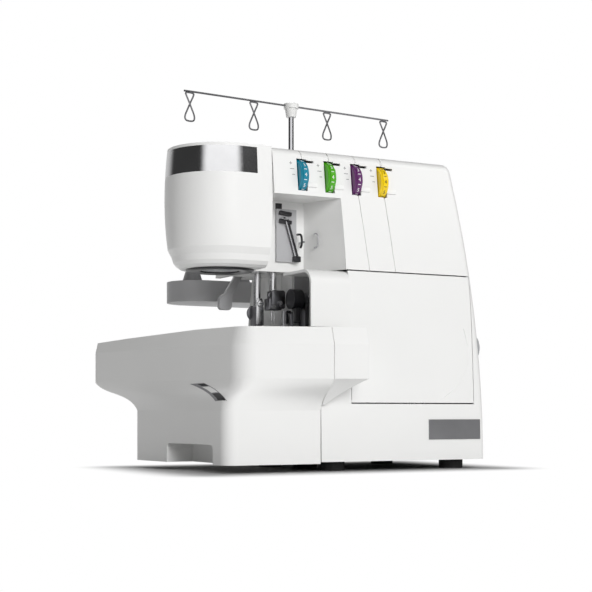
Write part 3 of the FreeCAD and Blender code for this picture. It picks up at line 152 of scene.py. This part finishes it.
def plated(name, colour, rough):
    """Bright plated metal with faint handling smears."""
    f = Finish(name)
    smears = f.noise(scale=26.0, detail=5.0)
    f.set(Base_Color=f.tone(smears, colour, dark=(0.35, 0.93), light=(0.65, 1.03)), Metallic=1.0,
          Roughness=smears * 0.05 + rough)
    return f.material


def ground(name, colour, rough, along):
    """Ground steel: fine lines along one axis, with uneven gloss."""
    f = Finish(name)
    streaks = f.noise(scale=900.0, detail=2.0, stretch=along)
    patches = f.noise(scale=30.0, detail=3.0)
    f.set(Base_Color=f.tone(patches, colour, dark=(0.3, 0.9), light=(0.7, 1.06)), Metallic=1.0,
          Roughness=streaks * 0.18 + rough, Normal=f.bump(streaks, strength=0.12, distance=0.00005))
    return f.material


def cast(name, colour, rough):
    """Sand-cast and painted metal: a rough skin with pits."""
    f = Finish(name)
    skin = f.noise(scale=420.0, detail=6.0)
    pits = f.cells(scale=700.0)
    f.set(Base_Color=f.tone(skin, colour, dark=(0.3, 0.85), light=(0.7, 1.1)), Metallic=0.75,
          Roughness=skin * 0.2 + rough, Normal=f.bump(skin + pits * 0.5, strength=0.35, distance=0.0003))
    return f.material


def rubbery(name, colour):
    """Matt rubber with a fine pebble grain."""
    f = Finish(name)
    pebble = f.cells(scale=1500.0)
    dust = f.noise(scale=60.0, detail=4.0)
    f.set(Base_Color=f.tone(dust, colour, dark=(0.35, 0.8), light=(0.75, 1.5)), Roughness=dust * 0.15 + 0.72,
          Normal=f.bump(pebble, strength=0.3, distance=0.0002))
    return f.material


def felted(name, colour):
    """Pressed felt with short fibres."""
    f = Finish(name)
    fibre = f.noise(scale=1800.0, detail=8.0)
    f.set(Base_Color=f.tone(fibre, colour, dark=(0.3, 0.75), light=(0.7, 1.08)), Roughness=0.95,
          Sheen_Weight=0.4, Normal=f.bump(fibre, strength=0.6, distance=0.0006))
    return f.material


def frosted(name, colour, middle):
    """A milky window with moulded rings round a middle, in metres."""
    f = Finish(name)
    rings = f.node("ShaderNodeTexWave", {"wave_type": "RINGS"},
                   {"Vector": f.place(move=middle), "Scale": 180.0})
    f.set(Base_Color=colour, Roughness=rings * 0.1 + 0.25, Transmission_Weight=0.55, IOR=1.49,
          Normal=f.bump(rings, strength=0.4, distance=0.0004))
    return f.material


WHITE = (0.80, 0.80, 0.79)
white_shell = moulded("white_shell", WHITE, rough=0.36, coat=0.15, spread=0.015)
white_bed = moulded("white_bed", WHITE, rough=0.42, coat=0.1, spread=0.015)
# Pale grey plastic; on the inner panel the grey is partly the panel's own tone and partly painted shade on
# the column wall's side behind the needle.
pale_grey_and_painted_shade = moulded("pale_grey_and_painted_shade", (0.42, 0.42, 0.43), rough=0.5)
# Mid grey for the spool stand, which is white plastic: the grey paints the shade it sits in under the head.
stand_painted_shade = moulded("stand_painted_shade", (0.5, 0.5, 0.51), rough=0.45)
grey_trim = moulded("grey_trim", (0.33, 0.34, 0.35), rough=0.45)
# Grey for the presser lever: it paints the shade that the lever sits in under the head.
lever_painted_shade = moulded("lever_painted_shade", (0.48, 0.48, 0.49), rough=0.4)
# Dark grey that paints the shade of the recessed slot at the bed's front corner.
slot_shade_grey = moulded("slot_shade_grey", (0.26, 0.26, 0.27), rough=0.45)
# Black plastic trim; the same black paints the shade of the recess round the lamp and of the slot at the top
# of the niche.
black_trim_and_painted_shade = moulded("black_trim_and_painted_shade", (0.012, 0.012, 0.014), rough=0.3)
white_print = moulded("white_print", (0.85, 0.85, 0.84), rough=0.5)
grey_print = moulded("grey_print", (0.22, 0.22, 0.23), rough=0.5)
# Black print; the same black paints the shade inside screw slots and in the openings of the slot on the bed's
# flare.
dark_print_and_painted_shade = moulded("dark_print_and_painted_shade", (0.02, 0.02, 0.022), rough=0.5)
band_plate = plated("band_plate", (0.66, 0.66, 0.67), rough=0.1)
bright_wire = plated("bright_wire", (0.55, 0.55, 0.57), rough=0.14)
guide_wire = plated("guide_wire", (0.2, 0.2, 0.21), rough=0.2)
bar_steel = ground("bar_steel", (0.6, 0.6, 0.61), rough=0.16, along=(1, 1, 0.03))
tool_steel = ground("tool_steel", (0.42, 0.42, 0.43), rough=0.2, along=(1, 0.03, 1))
dark_steel = ground("dark_steel", (0.16, 0.16, 0.17), rough=0.22, along=(1, 1, 0.05))
badge_metal = ground("badge_metal", (0.30, 0.30, 0.31), rough=0.3, along=(0.02, 1, 1))
frame_metal = cast("frame_metal", (0.45, 0.46, 0.48), rough=0.45)
pan_metal = cast("pan_metal", (0.12, 0.12, 0.125), rough=0.5)
motor_paint = cast("motor_paint", (0.05, 0.05, 0.055), rough=0.4)
foot_rubber = rubbery("foot_rubber", (0.02, 0.02, 0.02))
belt_rubber = rubbery("belt_rubber", (0.015, 0.015, 0.016))
spool_felt = felted("spool_felt", (0.7, 0.69, 0.65))
lamp_window = frosted("lamp_window", (0.9, 0.92, 0.95, 1), middle=(0.101, 0.029, 0))

DIAL_COLOURS = {
    "left_needle_dial": (0.0, 0.20, 0.30),
    "right_needle_dial": (0.06, 0.36, 0.0),
    "upper_looper_dial": (0.10, 0.012, 0.11),
    "lower_looper_dial": (0.85, 0.60, 0.0),
}
dial_finish = {name: moulded(name + "_plastic", colour, rough=0.32, coat=0.2)
               for name, colour in DIAL_COLOURS.items()}

SOLIDS_OF = {
    white_shell: ("front_cover", "rear_cover", "lower_cover", "looper_cover", "head_cover", "knife_hood",
                  "pole_cap", "handwheel"),
    white_bed: ("bed_table", "free_arm"),
    # inner_panel's grey is partly painted shade on the column wall's side behind the needle.
    pale_grey_and_painted_shade: ("inner_panel", "guide_plate", "presser_lever", "spool_holders"),
    # The spool stand's grey is painted shade.
    stand_painted_shade: ("spool_stand",),
    grey_trim: ("spool_pins", "stitch_dial", "shaft_pulley", "motor_pulley", "tension_carrier"),
    black_trim_and_painted_shade: ("knife_knob", "power_inlet", "power_switch"),
    band_plate: ("chrome_band",),
    bright_wire: ("niche_guides", "pole_rod", "pole_tube"),
    guide_wire: ("guide_bar", "thread_hooks"),
    bar_steel: ("needle_bar", "presser_bar", "needles", "main_shaft", "lever_pin", "tension_discs"),
    tool_steel: ("needle_plate", "feed_dogs", "lower_knife", "lower_looper", "upper_looper", "needle_screws",
                 "shaft_bearings", "bar_bushes"),
    dark_steel: ("upper_knife", "needle_clamp", "presser_foot"),
    badge_metal: ("badge_plate",),
    frame_metal: ("main_frame", "head_bracket"),
    pan_metal: ("base_pan",),
    motor_paint: ("motor",),
    foot_rubber: ("rubber_feet",),
    belt_rubber: ("drive_belt",),
    spool_felt: ("spool_felts",),
    lamp_window: ("lamp_lens",),
}
finish_of = {name: finish for finish, names in SOLIDS_OF.items() for name in names}
finish_of.update(dial_finish)
for name, finish in finish_of.items():
    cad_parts[name].data.materials.clear()
    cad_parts[name].data.materials.append(finish)


EYE = (-0.60075, -1.1119, 0.0526)
EYE_TURN = -28
PICTURE_PIXELS = 592.0
FOCAL_PIXELS = 1350.0
HORIZON_PIXELS = 115.0
SENSOR = 36.0
NEAREST = 0.05
LAMPS = (("key", (1.7, -1.25, 1.5), 1.3, 12.0), ("front", (-0.2, -1.95, 0.8), 0.9, 29.0),
         ("rim", (-0.3, 1.4, 1.2), 1.0, 5.0))
LAMPS_AIM = Vector((0, 0, 0.16))
WORLD_LIGHT = 0.14
PANEL_TOWARD = (-0.334, -0.897, 0.29)
PANEL_FADE = (0.70, 0.88, 0.05, 1.35)
BACK_FADE = (0.75, 1.0, 0.05, 0.7)
PURE_WHITE = (1, 1, 1, 1)
FLOOR_GREY = (0.55, 0.55, 0.55, 1)
FLOOR_REACH = 6.0
FLOOR_HELD_BACK = 0.4
FOOTPRINT_HALF = (0.14, 0.086, 0.0)
FOOTPRINT_MOVE = (0.0, 0.01, 0.0)
FLOOR_FADE = 0.06


def photo_camera():
    """A level camera at the photograph's place and angle, with its picture shifted up."""
    camera = bpy.data.cameras.new("photo_camera")
    camera.sensor_width = SENSOR
    camera.lens = FOCAL_PIXELS / PICTURE_PIXELS * SENSOR
    camera.shift_y = HORIZON_PIXELS / PICTURE_PIXELS
    camera.clip_start = NEAREST
    eye = bpy.data.objects.new("photo_camera", camera)
    eye.location = EYE
    eye.rotation_euler = (math.radians(90), 0, math.radians(EYE_TURN))
    scene.collection.objects.link(eye)
    scene.camera = eye


def lamps():
    """Soft lights. Bright metal doesn't mirror the front one, because the world's panel stands in for it."""
    for name, spot, width, power in LAMPS:
        light = bpy.data.lights.new(name, "AREA")
        light.size = width
        light.energy = power
        lamp = bpy.data.objects.new(name, light)
        lamp.location = spot
        lamp.rotation_euler = (LAMPS_AIM - Vector(spot)).to_track_quat("-Z", "Y").to_euler()
        lamp.visible_glossy = name != "front"
        scene.collection.objects.link(lamp)


def white_world():
    """A backdrop that is white to the eye and dim as a light, with two soft panels for metal to mirror."""
    world = bpy.data.worlds.new("studio")
    world.use_nodes = True
    g = Graph(world.node_tree)
    to_eye, through, mirror = [g.node("ShaderNodeLightPath", {}, {}, "Is %s Ray" % kind)
                               for kind in ("Camera", "Transmission", "Glossy")]
    where = g.node("ShaderNodeTexCoord", {}, {}, "Generated")
    toward = g.node("ShaderNodeVectorMath", {"operation": "DOT_PRODUCT"}, {0: where, 1: PANEL_TOWARD},
                    "Value")
    behind = g.node("ShaderNodeSeparateXYZ", {}, {0: where}, "Y")
    panels = g.fade(toward, *PANEL_FADE).math("MAXIMUM", g.fade(behind, *BACK_FADE))
    light = g.node("ShaderNodeMix", {}, {0: mirror, 2: WORLD_LIGHT, 3: panels})
    strength = g.node("ShaderNodeMix", {}, {0: to_eye.math("MAXIMUM", through), 2: light, 3: 1.0})
    background = g.tree.nodes["Background"]
    g.feed(background.inputs["Strength"], strength)
    g.feed(background.inputs["Color"], PURE_WHITE)
    scene.world = world
    scene.view_settings.view_transform = "Standard"


def sweep_floor():
    """A pale floor that keeps the shadow near the machine and fades to plain white further out."""
    mesh = bmesh.new()
    bmesh.ops.create_grid(mesh, x_segments=1, y_segments=1, size=FLOOR_REACH)
    data = bpy.data.meshes.new("floor")
    mesh.to_mesh(data)
    mesh.free()
    floor = bpy.data.objects.new("floor", data)
    scene.collection.objects.link(floor)
    f = Finish("pale_floor")
    f.set(Base_Color=FLOOR_GREY, Roughness=0.6)
    offset = f.node("ShaderNodeVectorMath", {"operation": "ABSOLUTE"}, {0: f.place(move=FOOTPRINT_MOVE)})
    past = f.node("ShaderNodeVectorMath", {"operation": "SUBTRACT"}, {0: offset, 1: FOOTPRINT_HALF})
    outside = f.node("ShaderNodeVectorMath", {"operation": "MAXIMUM"}, {0: past, 1: (0.0, 0.0, 0.0)})
    reach = f.node("ShaderNodeVectorMath", {"operation": "LENGTH"}, {0: outside}, "Value")
    bounced = f.node("ShaderNodeLightPath", {}, {}, "Is Diffuse Ray")
    glow = f.node("ShaderNodeEmission", {},
                  {"Color": PURE_WHITE, "Strength": 1.0 - bounced * FLOOR_HELD_BACK})
    skin = Wire(f, f.shader.outputs[0])
    blend = f.node("ShaderNodeMixShader", {}, {0: f.fade(reach, 0.0, FLOOR_FADE), 1: skin, 2: glow})
    f.feed(f.tree.nodes["Material Output"].inputs["Surface"], blend)
    data.materials.append(f.material)


photo_camera()
lamps()
white_world()
sweep_floor()


def settle(name, form, finish, body, crisp=35):
    """Turns a form into a piece that rides on a body, smooth apart from its crisp edges."""
    bmesh.ops.recalc_face_normals(form, faces=form.faces[:])
    data = bpy.data.meshes.new(name)
    form.to_mesh(data)
    form.free()
    data.shade_smooth()
    data.set_sharp_from_angle(angle=math.radians(crisp))
    data.materials.append(finish)
    made = bpy.data.objects.new(name, data)
    scene.collection.objects.link(made)
    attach(made, body)
    return made


def join(forms):
    """One form from several."""
    whole = bmesh.new()
    for form in forms:
        data = bpy.data.meshes.new("part")
        form.to_mesh(data)
        form.free()
        whole.from_mesh(data)
        bpy.data.meshes.remove(data)
    return whole


def slab(outline, thick, edge, place):
    """A plate of the outline's shape, in millimetres, with rounded edges, laid at a place."""
    form = bmesh.new()
    face = form.faces.new([form.verts.new((x, y, 0)) for x, y in outline])
    grown = bmesh.ops.extrude_face_region(form, geom=[face])
    top = [item for item in grown["geom"] if isinstance(item, bmesh.types.BMVert)]
    bmesh.ops.translate(form, verts=top, vec=(0, 0, thick))
    if edge:
        bmesh.ops.bevel(form, geom=form.edges[:], offset=edge, segments=2, profile=0.5, affect="EDGES",
                        material=-1)
    bmesh.ops.transform(form, matrix=place @ Matrix.Scale(MM, 4), verts=form.verts[:])
    return form


WELD = 0.00001


def turned(section, middle, axis, steps):
    """A form that a section's points, in metres, sweep out on their way round an axis through the middle."""
    form = bmesh.new()
    verts = [form.verts.new(point) for point in section]
    edges = [form.edges.new((verts[k - 1], verts[k])) for k in range(len(verts))]
    bmesh.ops.spin(form, geom=verts + edges, cent=middle, axis=axis, angle=2 * math.pi, steps=steps,
                   use_merge=True)
    bmesh.ops.remove_doubles(form, verts=form.verts[:], dist=WELD)
    return form


def bar(wide, tall):
    """A rectangle's outline around its middle."""
    return [(-wide / 2, -tall / 2), (wide / 2, -tall / 2), (wide / 2, tall / 2), (-wide / 2, tall / 2)]


def disc(radius, count=32):
    """A circle's outline."""
    turns = [2 * math.pi * k / count for k in range(count)]
    return [(radius * math.cos(a), radius * math.sin(a)) for a in turns]


def upright(x, y, z):
    """A place at millimetres x, y, z that faces up."""
    return Matrix.Translation((x * MM, y * MM, z * MM))


def facing(x, y, z, turn=0.0):
    """A place at millimetres x, y, z that faces the front, turned in its own plane."""
    return (upright(x, y, z) @ Matrix.Rotation(math.radians(90), 4, "X")
            @ Matrix.Rotation(math.radians(turn), 4, "Z"))


FAR_FRONT = -1.0


def front_of(node, x, z, lift):
    """The place on a node's front face at x and z, facing out of it and lifted off it by millimetres."""
    ahead = Vector((x * MM, FAR_FRONT, z * MM))
    spot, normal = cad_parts[node].ray_cast(ahead, Vector((0, 1, 0)))[1:3]
    side = (Vector((1, 0, 0)) - normal * normal.x).normalized()
    turn = Matrix((side, normal.cross(side), normal)).transposed().to_4x4()
    return Matrix.Translation(spot + normal * lift * MM) @ turn


def middle_of(node):
    """The middle of a node's box, in metres."""
    low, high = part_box(node)
    return [(a + b) / 2 for a, b in zip(low, high)]


def wire(name, points, radius, finish, body, places=(Matrix(),)):
    """A bent wire through points in millimetres, with one copy for each place."""
    curve = bpy.data.curves.new(name, "CURVE")
    curve.dimensions = "3D"
    curve.bevel_depth = radius * MM
    curve.bevel_resolution = 3
    curve.use_fill_caps = True
    for place in places:
        line = curve.splines.new("NURBS")
        line.points.add(len(points) - 1)
        for point, spot in zip(line.points, points):
            point.co = (*(place @ Vector(spot)) * MM, 1)
        line.order_u = 3
        line.use_endpoint_u = True
        line.resolution_u = 8
    curve.materials.append(finish)
    made = bpy.data.objects.new(name, curve)
    scene.collection.objects.link(made)
    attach(made, body)
    return made


GLYPH_THICK = 0.1


def glyph(text, height):
    """A figure as a thin form around the origin."""
    curve = bpy.data.curves.new("glyph", "FONT")
    curve.body = text
    curve.size = height * MM
    curve.align_x = "CENTER"
    curve.align_y = "CENTER"
    curve.extrude = GLYPH_THICK * MM
    curve.resolution_u = 4
    holder = bpy.data.objects.new("glyph", curve)
    data = bpy.data.meshes.new_from_object(holder)
    bpy.data.objects.remove(holder)
    bpy.data.curves.remove(curve)
    form = bmesh.new()
    form.from_mesh(data)
    bpy.data.meshes.remove(data)
    return form


def screw(radius, deep, place):
    """A slotted screw's head as a rounded disc, and a thin plate across it where the driver's slot is,
    coloured as the slot's painted shade.
    """
    head = slab(disc(radius), thick=deep, edge=radius * 0.16, place=place)
    raised = place @ Matrix.Translation((0, 0, (deep + 0.01) * MM))
    return head, slab(bar(radius * 1.5, radius * 0.24), thick=0.12, edge=0.0, place=raised)


DIAL_BODIES = ("dial_1", "dial_2", "dial_3", "dial_4")
DIAL_SLOTS = ("teal", "green", "purple", "yellow")
DIAL_BORE = 3.3
DIAL_EDGE = ((0.0, 1.6), (0.4, 0.9), (1.5, 0.5), (1.9, 0.0))
RIDGES = 60
RIDGE_DEEP = 0.45
SHOULDER = (1.0, 0.4)
FIGURES = range(1, 10)
FIGURE_IN_FRONT = 4
FIGURE_HIGH = 4.6
FIGURE_STEP = math.radians(36)
TICK_SIZE = (2.6, 0.55)
TICK_THICK = 0.2
TICK_RISE = 5.2


def dial_wheel(radius, left, right, middle):
    """A wheel whose shoulders are ridged, with a smooth rim between them."""
    half = [(0.0, DIAL_BORE * MM)] + [(x * MM, radius - drop * MM) for x, drop in DIAL_EDGE]
    shape = [(left + x, r) for x, r in half] + [(right - x, r) for x, r in reversed(half)]
    form = turned([(x, middle[1], middle[2] + r) for x, r in shape], middle, (1, 0, 0), steps=2 * RIDGES)
    for vert in form.verts:
        out = vert.co - Vector((vert.co.x, middle[1], middle[2]))
        step = round(math.atan2(out.y, out.z) / math.pi * RIDGES)
        on_shoulder = radius - SHOULDER[0] * MM < out.length < radius - SHOULDER[1] * MM
        if on_shoulder and step % 2:
            vert.co -= out.normalized() * RIDGE_DEEP * MM
    return form


def dial_figures(radius, middle):
    """The figures 1 to 9 with a tick after each, laid round a wheel's rim."""
    forms = []
    for number in FIGURES:
        tick_place = upright(0, TICK_RISE, -TICK_THICK / 2)
        tick = slab(bar(*TICK_SIZE), thick=TICK_THICK, edge=0.0, place=tick_place)
        for form in (glyph(str(number), FIGURE_HIGH), tick):
            for vert in form.verts:
                angle = (FIGURE_IN_FRONT - number) * FIGURE_STEP + vert.co.y / radius
                reach = radius + vert.co.z
                vert.co = (middle[0] + vert.co.x, middle[1] - reach * math.cos(angle),
                           middle[2] + reach * math.sin(angle))
            forms.append(form)
    return join(forms)


def dial(node, body, finish, ink):
    """A tension wheel and the figures printed on it."""
    low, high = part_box(node)
    middle = middle_of(node)
    radius = (high[2] - low[2]) / 2
    wheel = settle(node.replace("dial", "wheel"), dial_wheel(radius, low[0], high[0], middle), finish, body,
                   crisp=25)
    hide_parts(node)
    settle(node + "_figures", dial_figures(radius, middle), ink, body)


for node, body, slot in zip(DIAL_COLOURS, DIAL_BODIES, DIAL_SLOTS):
    dial(node, body, dial_finish[node], dark_print_and_painted_shade if slot == "yellow" else white_print)


DIAL_MARKS = ((2.6, 0.5, -6.6, 267.6), (0.5, 2.6, -6.6, 267.6), (4.0, 0.5, -5.6, 262.6),
              (2.6, 0.5, -4.4, 257.6))
REST_SIZE = (9.6, 4.6)
REST_ACROSS = 13.2
REST_UP = 249.6
# The third entry is a thin black plate that paints the shade of the slot at the top of the niche.
NICHE_CLIPS_AND_SLOT_SHADE = ((12, 3.6, 3.4, 0.7, (-43, -41, 229.0), -6), (12, 3.6, 3.4, 0.7, (-43, -41, 221.6), -6),
               (6.4, 9.6, 0.8, 0.2, (-47.4, -37.6, 233.6), 0), (3.4, 36, 2.4, 0.5, (-36.2, -41, 206.5), 17),
               (7.0, 5.4, 4.6, 0.9, (-31.9, -41, 188.6), 0))
TAKE_UP_EDGE = ((-43.4, -43.2, 223.4), (-43.2, -44.0, 223.0), (-38, -44.2, 205.8), (-32.9, -44.0, 189),
                (-32.7, -43.2, 188.6))
NICHE_HOOK = ((-30, -40.6, 211), (-30, -45.5, 211), (-29.6, -48.5, 209.5), (-29.2, -48.5, 200.5),
              (-29.4, -46, 199))
WALL_GUIDE = ((-17.5, -50, 211), (-20, -53, 211), (-18.5, -58, 211), (-18.2, -59, 205), (-18.4, -58, 199),
              (-20, -53, 198.5), (-17.5, -50, 198.5))
HOOK_PLACES = (-113.5, -43.0, 43.0, 113.5)
HOOK_LINE = ((0, 0, 349.6), (4.6, 0, 349.6), (4.4, 0.8, 347), (2.2, 1, 342.6), (-2.0, 1, 333.6),
             (-4.8, 0.6, 328), (-4.9, 0, 324.2), (-2.6, 0, 323), (2.6, 0, 323), (4.9, 0, 324.2),
             (4.8, -0.6, 328), (2.0, -1, 333.6), (-2.2, -1, 342.6), (-4.4, -0.8, 347), (-4.6, 0, 349.6),
             (0, 0, 349.6))


def dial_marks():
    """The more-and-less marks at the left of each wheel, and the raised thread rest at its right."""
    marks = []
    rests = []
    for node in DIAL_COLOURS:
        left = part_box(node)[0][0] / MM
        for wide, tall, across, up in DIAL_MARKS:
            place = front_of("front_cover", left + across, up, lift=-0.04)
            marks.append(slab(bar(wide, tall), thick=0.16, edge=0.0, place=place))
        place = front_of("front_cover", left + REST_ACROSS, REST_UP, lift=-0.6)
        rests.append(slab(bar(*REST_SIZE), thick=2.0, edge=0.9, place=place))
    settle("dial_marks", join(marks), grey_print, "machine")
    settle("thread_rests", join(rests), white_shell, "machine")


def niche_fittings():
    """Thread clips, a thin black plate that paints the shade of the slot at the top of the niche, the take-up
    strip with its bright edge, a hook and a wire guide in the niche.
    """
    clips = [slab(bar(wide, tall), thick, edge, facing(*spot, turn))
             for wide, tall, thick, edge, spot, turn in NICHE_CLIPS_AND_SLOT_SHADE]
    settle("niche_clips_and_slot_shade", join(clips), black_trim_and_painted_shade, "machine")
    wire("take_up_edge", TAKE_UP_EDGE, 0.75, bright_wire, "machine")
    wire("niche_hook", NICHE_HOOK, 1.0, black_trim_and_painted_shade, "machine")
    wire("wall_guide", WALL_GUIDE, 0.6, bright_wire, "machine")


def thread_eyes():
    """The four thread hooks: each a wire that crosses itself between a narrow upper loop and a wider eye."""
    low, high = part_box("guide_bar")
    x, y = middle_of("guide_bar")[:2]
    skew = Matrix.Rotation(math.atan2(high[1] - low[1], high[0] - low[0]), 4, "Z")
    places = [Matrix.Translation((x / MM, y / MM, 0)) @ skew @ Matrix.Translation((along, 0, 0))
              for along in HOOK_PLACES]
    hooks = wire("thread_eyes", HOOK_LINE, 0.8, guide_wire, "antenna", places)
    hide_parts("thread_hooks")


dial_marks()
niche_fittings()
thread_eyes()


CLAMP_GUIDE = ((-6, -8), (6.5, -8), (7.4, -6), (7.4, 7), (6.2, 8.4), (-5, 8.4), (-6, 7))
SHANK = ((-3.4, -12), (3.4, -12), (3.4, 9), (2.2, 12), (-2.2, 12), (-3.4, 9))
LEVER_ARM = ((-57, 201), (-51.5, 201), (-50.2, 181), (-61.5, 161), (-62.2, 149), (-64.4, 146.6),
             (-73.6, 146.6), (-75.6, 149), (-75, 157.4), (-72.4, 160.6), (-69.2, 162), (-57.4, 181))
RECESS_SHADE_SECTION = ((17.6, 176.9), (17.6, 175.6), (28.6, 175.2), (30.2, 176.0), (30.2, 176.9))
FINGER_GUARD = ((-5, -9.2), (5, -9.2), (5, 6), (2.5, 9.2), (-5, 9.2))
KNOB_POST = ((-2.6, -6.5), (2.6, -6.5), (2.6, 7), (-2.6, 7))


def needle_fittings():
    """The needle clamp with its collar, screw and thread guide."""
    head, slot = screw(radius=2.4, deep=2.2, place=facing(-44.4, -36.4, 147.6))
    forms = [slab(bar(13, 10), thick=10.5, edge=0.9, place=upright(-49, -30, 143)),
             slab(disc(5.2), thick=7.5, edge=0.7, place=upright(-49, -30, 152.5)),
             slab(CLAMP_GUIDE, thick=1.6, edge=0.5, place=facing(-47.2, -35, 152.4)),
             slab(disc(2.4), thick=3.0, edge=0.4, place=facing(-54.4, -33, 156.4)), head]
    clamp = settle("clamp_block", join(forms), dark_steel, "needle_set")
    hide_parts("needle_clamp")
    # The driver's slot is a thin black plate: painted shade.
    settle("clamp_screw_slot_shade", slot, dark_print_and_painted_shade, "needle_set")


def presser_fittings():
    """The bright shank in front of the presser bar, its screw, and the round spring plate behind."""
    shank = slab(SHANK, thick=2.4, edge=0.5, place=facing(-60, -23.4, 142))
    head, slot = screw(radius=2.9, deep=2.6, place=facing(-60, -25.8, 149))
    settle("foot_shank", join([shank, head]), bar_steel, "presser")
    # The driver's slot is a thin black plate: painted shade.
    settle("foot_screw_slot_shade", slot, dark_print_and_painted_shade, "presser")
    plate = [slab(disc(7.0), thick=1.8, edge=0.4, place=facing(-60.5, -13.6, 141)),
             slab(bar(5, 12), thick=6.0, edge=0.6, place=facing(-60, -11.8, 133))]
    settle("spring_plate", join(plate), dark_steel, "presser")


def lever_arm():
    """The presser lever: a slim arm that leans out from its hub to a rounded finger tab."""
    sideways = upright(-59.5, 30, 196) @ Matrix.Rotation(math.radians(90), 4, "Y")
    forms = [slab(LEVER_ARM, thick=5.5, edge=1.1, place=facing(0, 33, 0)),
             slab(disc(6.2), thick=11, edge=0.8, place=sideways)]
    # The lever's grey finish is painted shade.
    lever = settle("lever_arm", join(forms), lever_painted_shade, "lever")
    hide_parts("presser_lever")


def lamp_bezel():
    """A black ring under the head, round the lamp's window, that paints the shade of the recess there."""
    x, y = middle_of("lamp_lens")[:2]
    section = [(x + r * MM, y, z * MM) for r, z in RECESS_SHADE_SECTION]
    form = turned(section, (x, y, 0.0), (0, 0, 1), steps=72)
    settle("lamp_bezel", form, black_trim_and_painted_shade, "machine")


def knife_fittings():
    """The bright finger guard beside the needles, and the black post that carries the knife's knob."""
    guard = slab(FINGER_GUARD, thick=1.2, edge=0.35, place=facing(-41.2, -44, 133.1))
    settle("finger_guard", guard, bright_wire, "machine")
    post = slab(KNOB_POST, thick=4.6, edge=0.8, place=facing(-38.6, -53.6, 137))
    settle("knob_post", post, black_trim_and_painted_shade, "knife")


CRESCENT_TOP = Vector((116, 128))
CRESCENT_BEND = Vector((131, 84))
CRESCENT_FOOT = Vector((90, 64))
CRESCENT_STEPS = 28
CRESCENT_THIN = 0.25
CRESCENT_SWELL = 2.6
CRESCENT_TAPER = 1.3
CRESCENT_SECTION = ((1.0, -0.35), (0.25, 0.5), (-1.0, -0.35), (0.0, -0.8))


def crescent():
    """The raised crescent that sweeps down the right of the looper cover."""
    form = bmesh.new()
    rows = []
    for k in range(CRESCENT_STEPS + 1):
        t = k / CRESCENT_STEPS
        spot = CRESCENT_TOP * (1 - t) ** 2 + CRESCENT_BEND * 2 * t * (1 - t) + CRESCENT_FOOT * t ** 2
        run = ((CRESCENT_BEND - CRESCENT_TOP) * (1 - t) + (CRESCENT_FOOT - CRESCENT_BEND) * t).normalized()
        half = CRESCENT_THIN + CRESCENT_SWELL * math.sin(math.pi * t) ** CRESCENT_TAPER
        across = Vector((-run.y, run.x)) * half
        row = []
        for share, lift in CRESCENT_SECTION:
            point = spot + across * share
            row.append(form.verts.new(front_of("looper_cover", point.x, point.y, lift).translation))
        rows.append(row)
    for one, two in zip(rows, rows[1:]):
        for k in range(len(CRESCENT_SECTION)):
            form.faces.new((one[k - 1], one[k], two[k], two[k - 1]))
    form.faces.new(rows[0])
    form.faces.new(rows[-1])
    settle("cover_crescent", form, white_shell, "door", crisp=60)


FLARE_LEFT = ((-127.1, -23.3, 76.3), (-125.8, -35.6, 73.5), (-125.3, -47.1, 70.7), (-125.5, -60.0, 67.1),
              (-126.0, -69.4, 63.6), (-126.4, -76.3, 60.2), (-126.8, -81.2, 56.0))
FLARE_RIGHT = ((-123.2, -44.4, 76.8), (-122.2, -55.0, 74.0), (-122.0, -64.8, 71.3), (-122.8, -76.5, 67.8),
               (-123.5, -86.0, 64.3), (-122.3, -91.4, 60.1), (-120.6, -93.7, 55.1))
FLARE_STEPS = 16
FLARE_LANES = 5
FLARE_SUNK = -0.4


def flare_patch(along, across, lift):
    """A thin patch on the bed's flare, between shares of the length and the width of its strip."""
    form = bmesh.new()
    last = len(FLARE_LEFT) - 1
    rows = []
    for k in range(FLARE_STEPS + 1):
        reach = (along[0] + (along[1] - along[0]) * k / FLARE_STEPS) * last
        place = min(int(reach), last - 1)
        left, right = [Vector(edge[place]).lerp(Vector(edge[place + 1]), reach - place)
                       for edge in (FLARE_LEFT, FLARE_RIGHT)]
        row = []
        for j in range(FLARE_LANES + 1):
            spot = left.lerp(right, across[0] + (across[1] - across[0]) * j / FLARE_LANES) * MM
            skin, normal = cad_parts["bed_table"].closest_point_on_mesh(spot)[1:3]
            row.append([form.verts.new(skin + normal * depth * MM) for depth in (FLARE_SUNK, lift)])
        rows.append(row)
    for one, two in zip(rows, rows[1:]):
        for a, b, c, d in zip(one, one[1:], two[1:], two):
            form.faces.new((a[1], b[1], c[1], d[1]))
            form.faces.new((a[0], d[0], c[0], b[0]))
        for a, d in ((one[0], two[0]), (one[-1], two[-1])):
            form.faces.new((a[0], a[1], d[1], d[0]))
    for row in (rows[0], rows[-1]):
        for a, b in zip(row, row[1:]):
            form.faces.new((a[0], a[1], b[1], b[0]))
    return form


def flare_strip():
    """A dark grey strip down the flare at the bed's front corner that paints the shade of its recessed slot,
    with black patches that paint the deeper shade in its two openings, and a button between.
    """
    strip = flare_patch(along=(0.0, 0.8), across=(0.0, 1.0), lift=0.15)
    settle("flare_strip", strip, slot_shade_grey, "bed")
    # Black patches that paint the deeper shade inside the slot's two openings.
    opening_shade = [flare_patch(along=(0.03, 0.15), across=(0.45, 0.94), lift=0.22),
                flare_patch(along=(0.5, 0.78), across=(0.3, 0.96), lift=0.22)]
    settle("flare_opening_shade", join(opening_shade), dark_print_and_painted_shade, "bed")
    button = flare_patch(along=(0.2, 0.47), across=(0.32, 0.9), lift=0.7)
    settle("flare_button", button, white_bed, "bed")


needle_fittings()
presser_fittings()
lever_arm()
lamp_bezel()
knife_fittings()
crescent()
flare_strip()
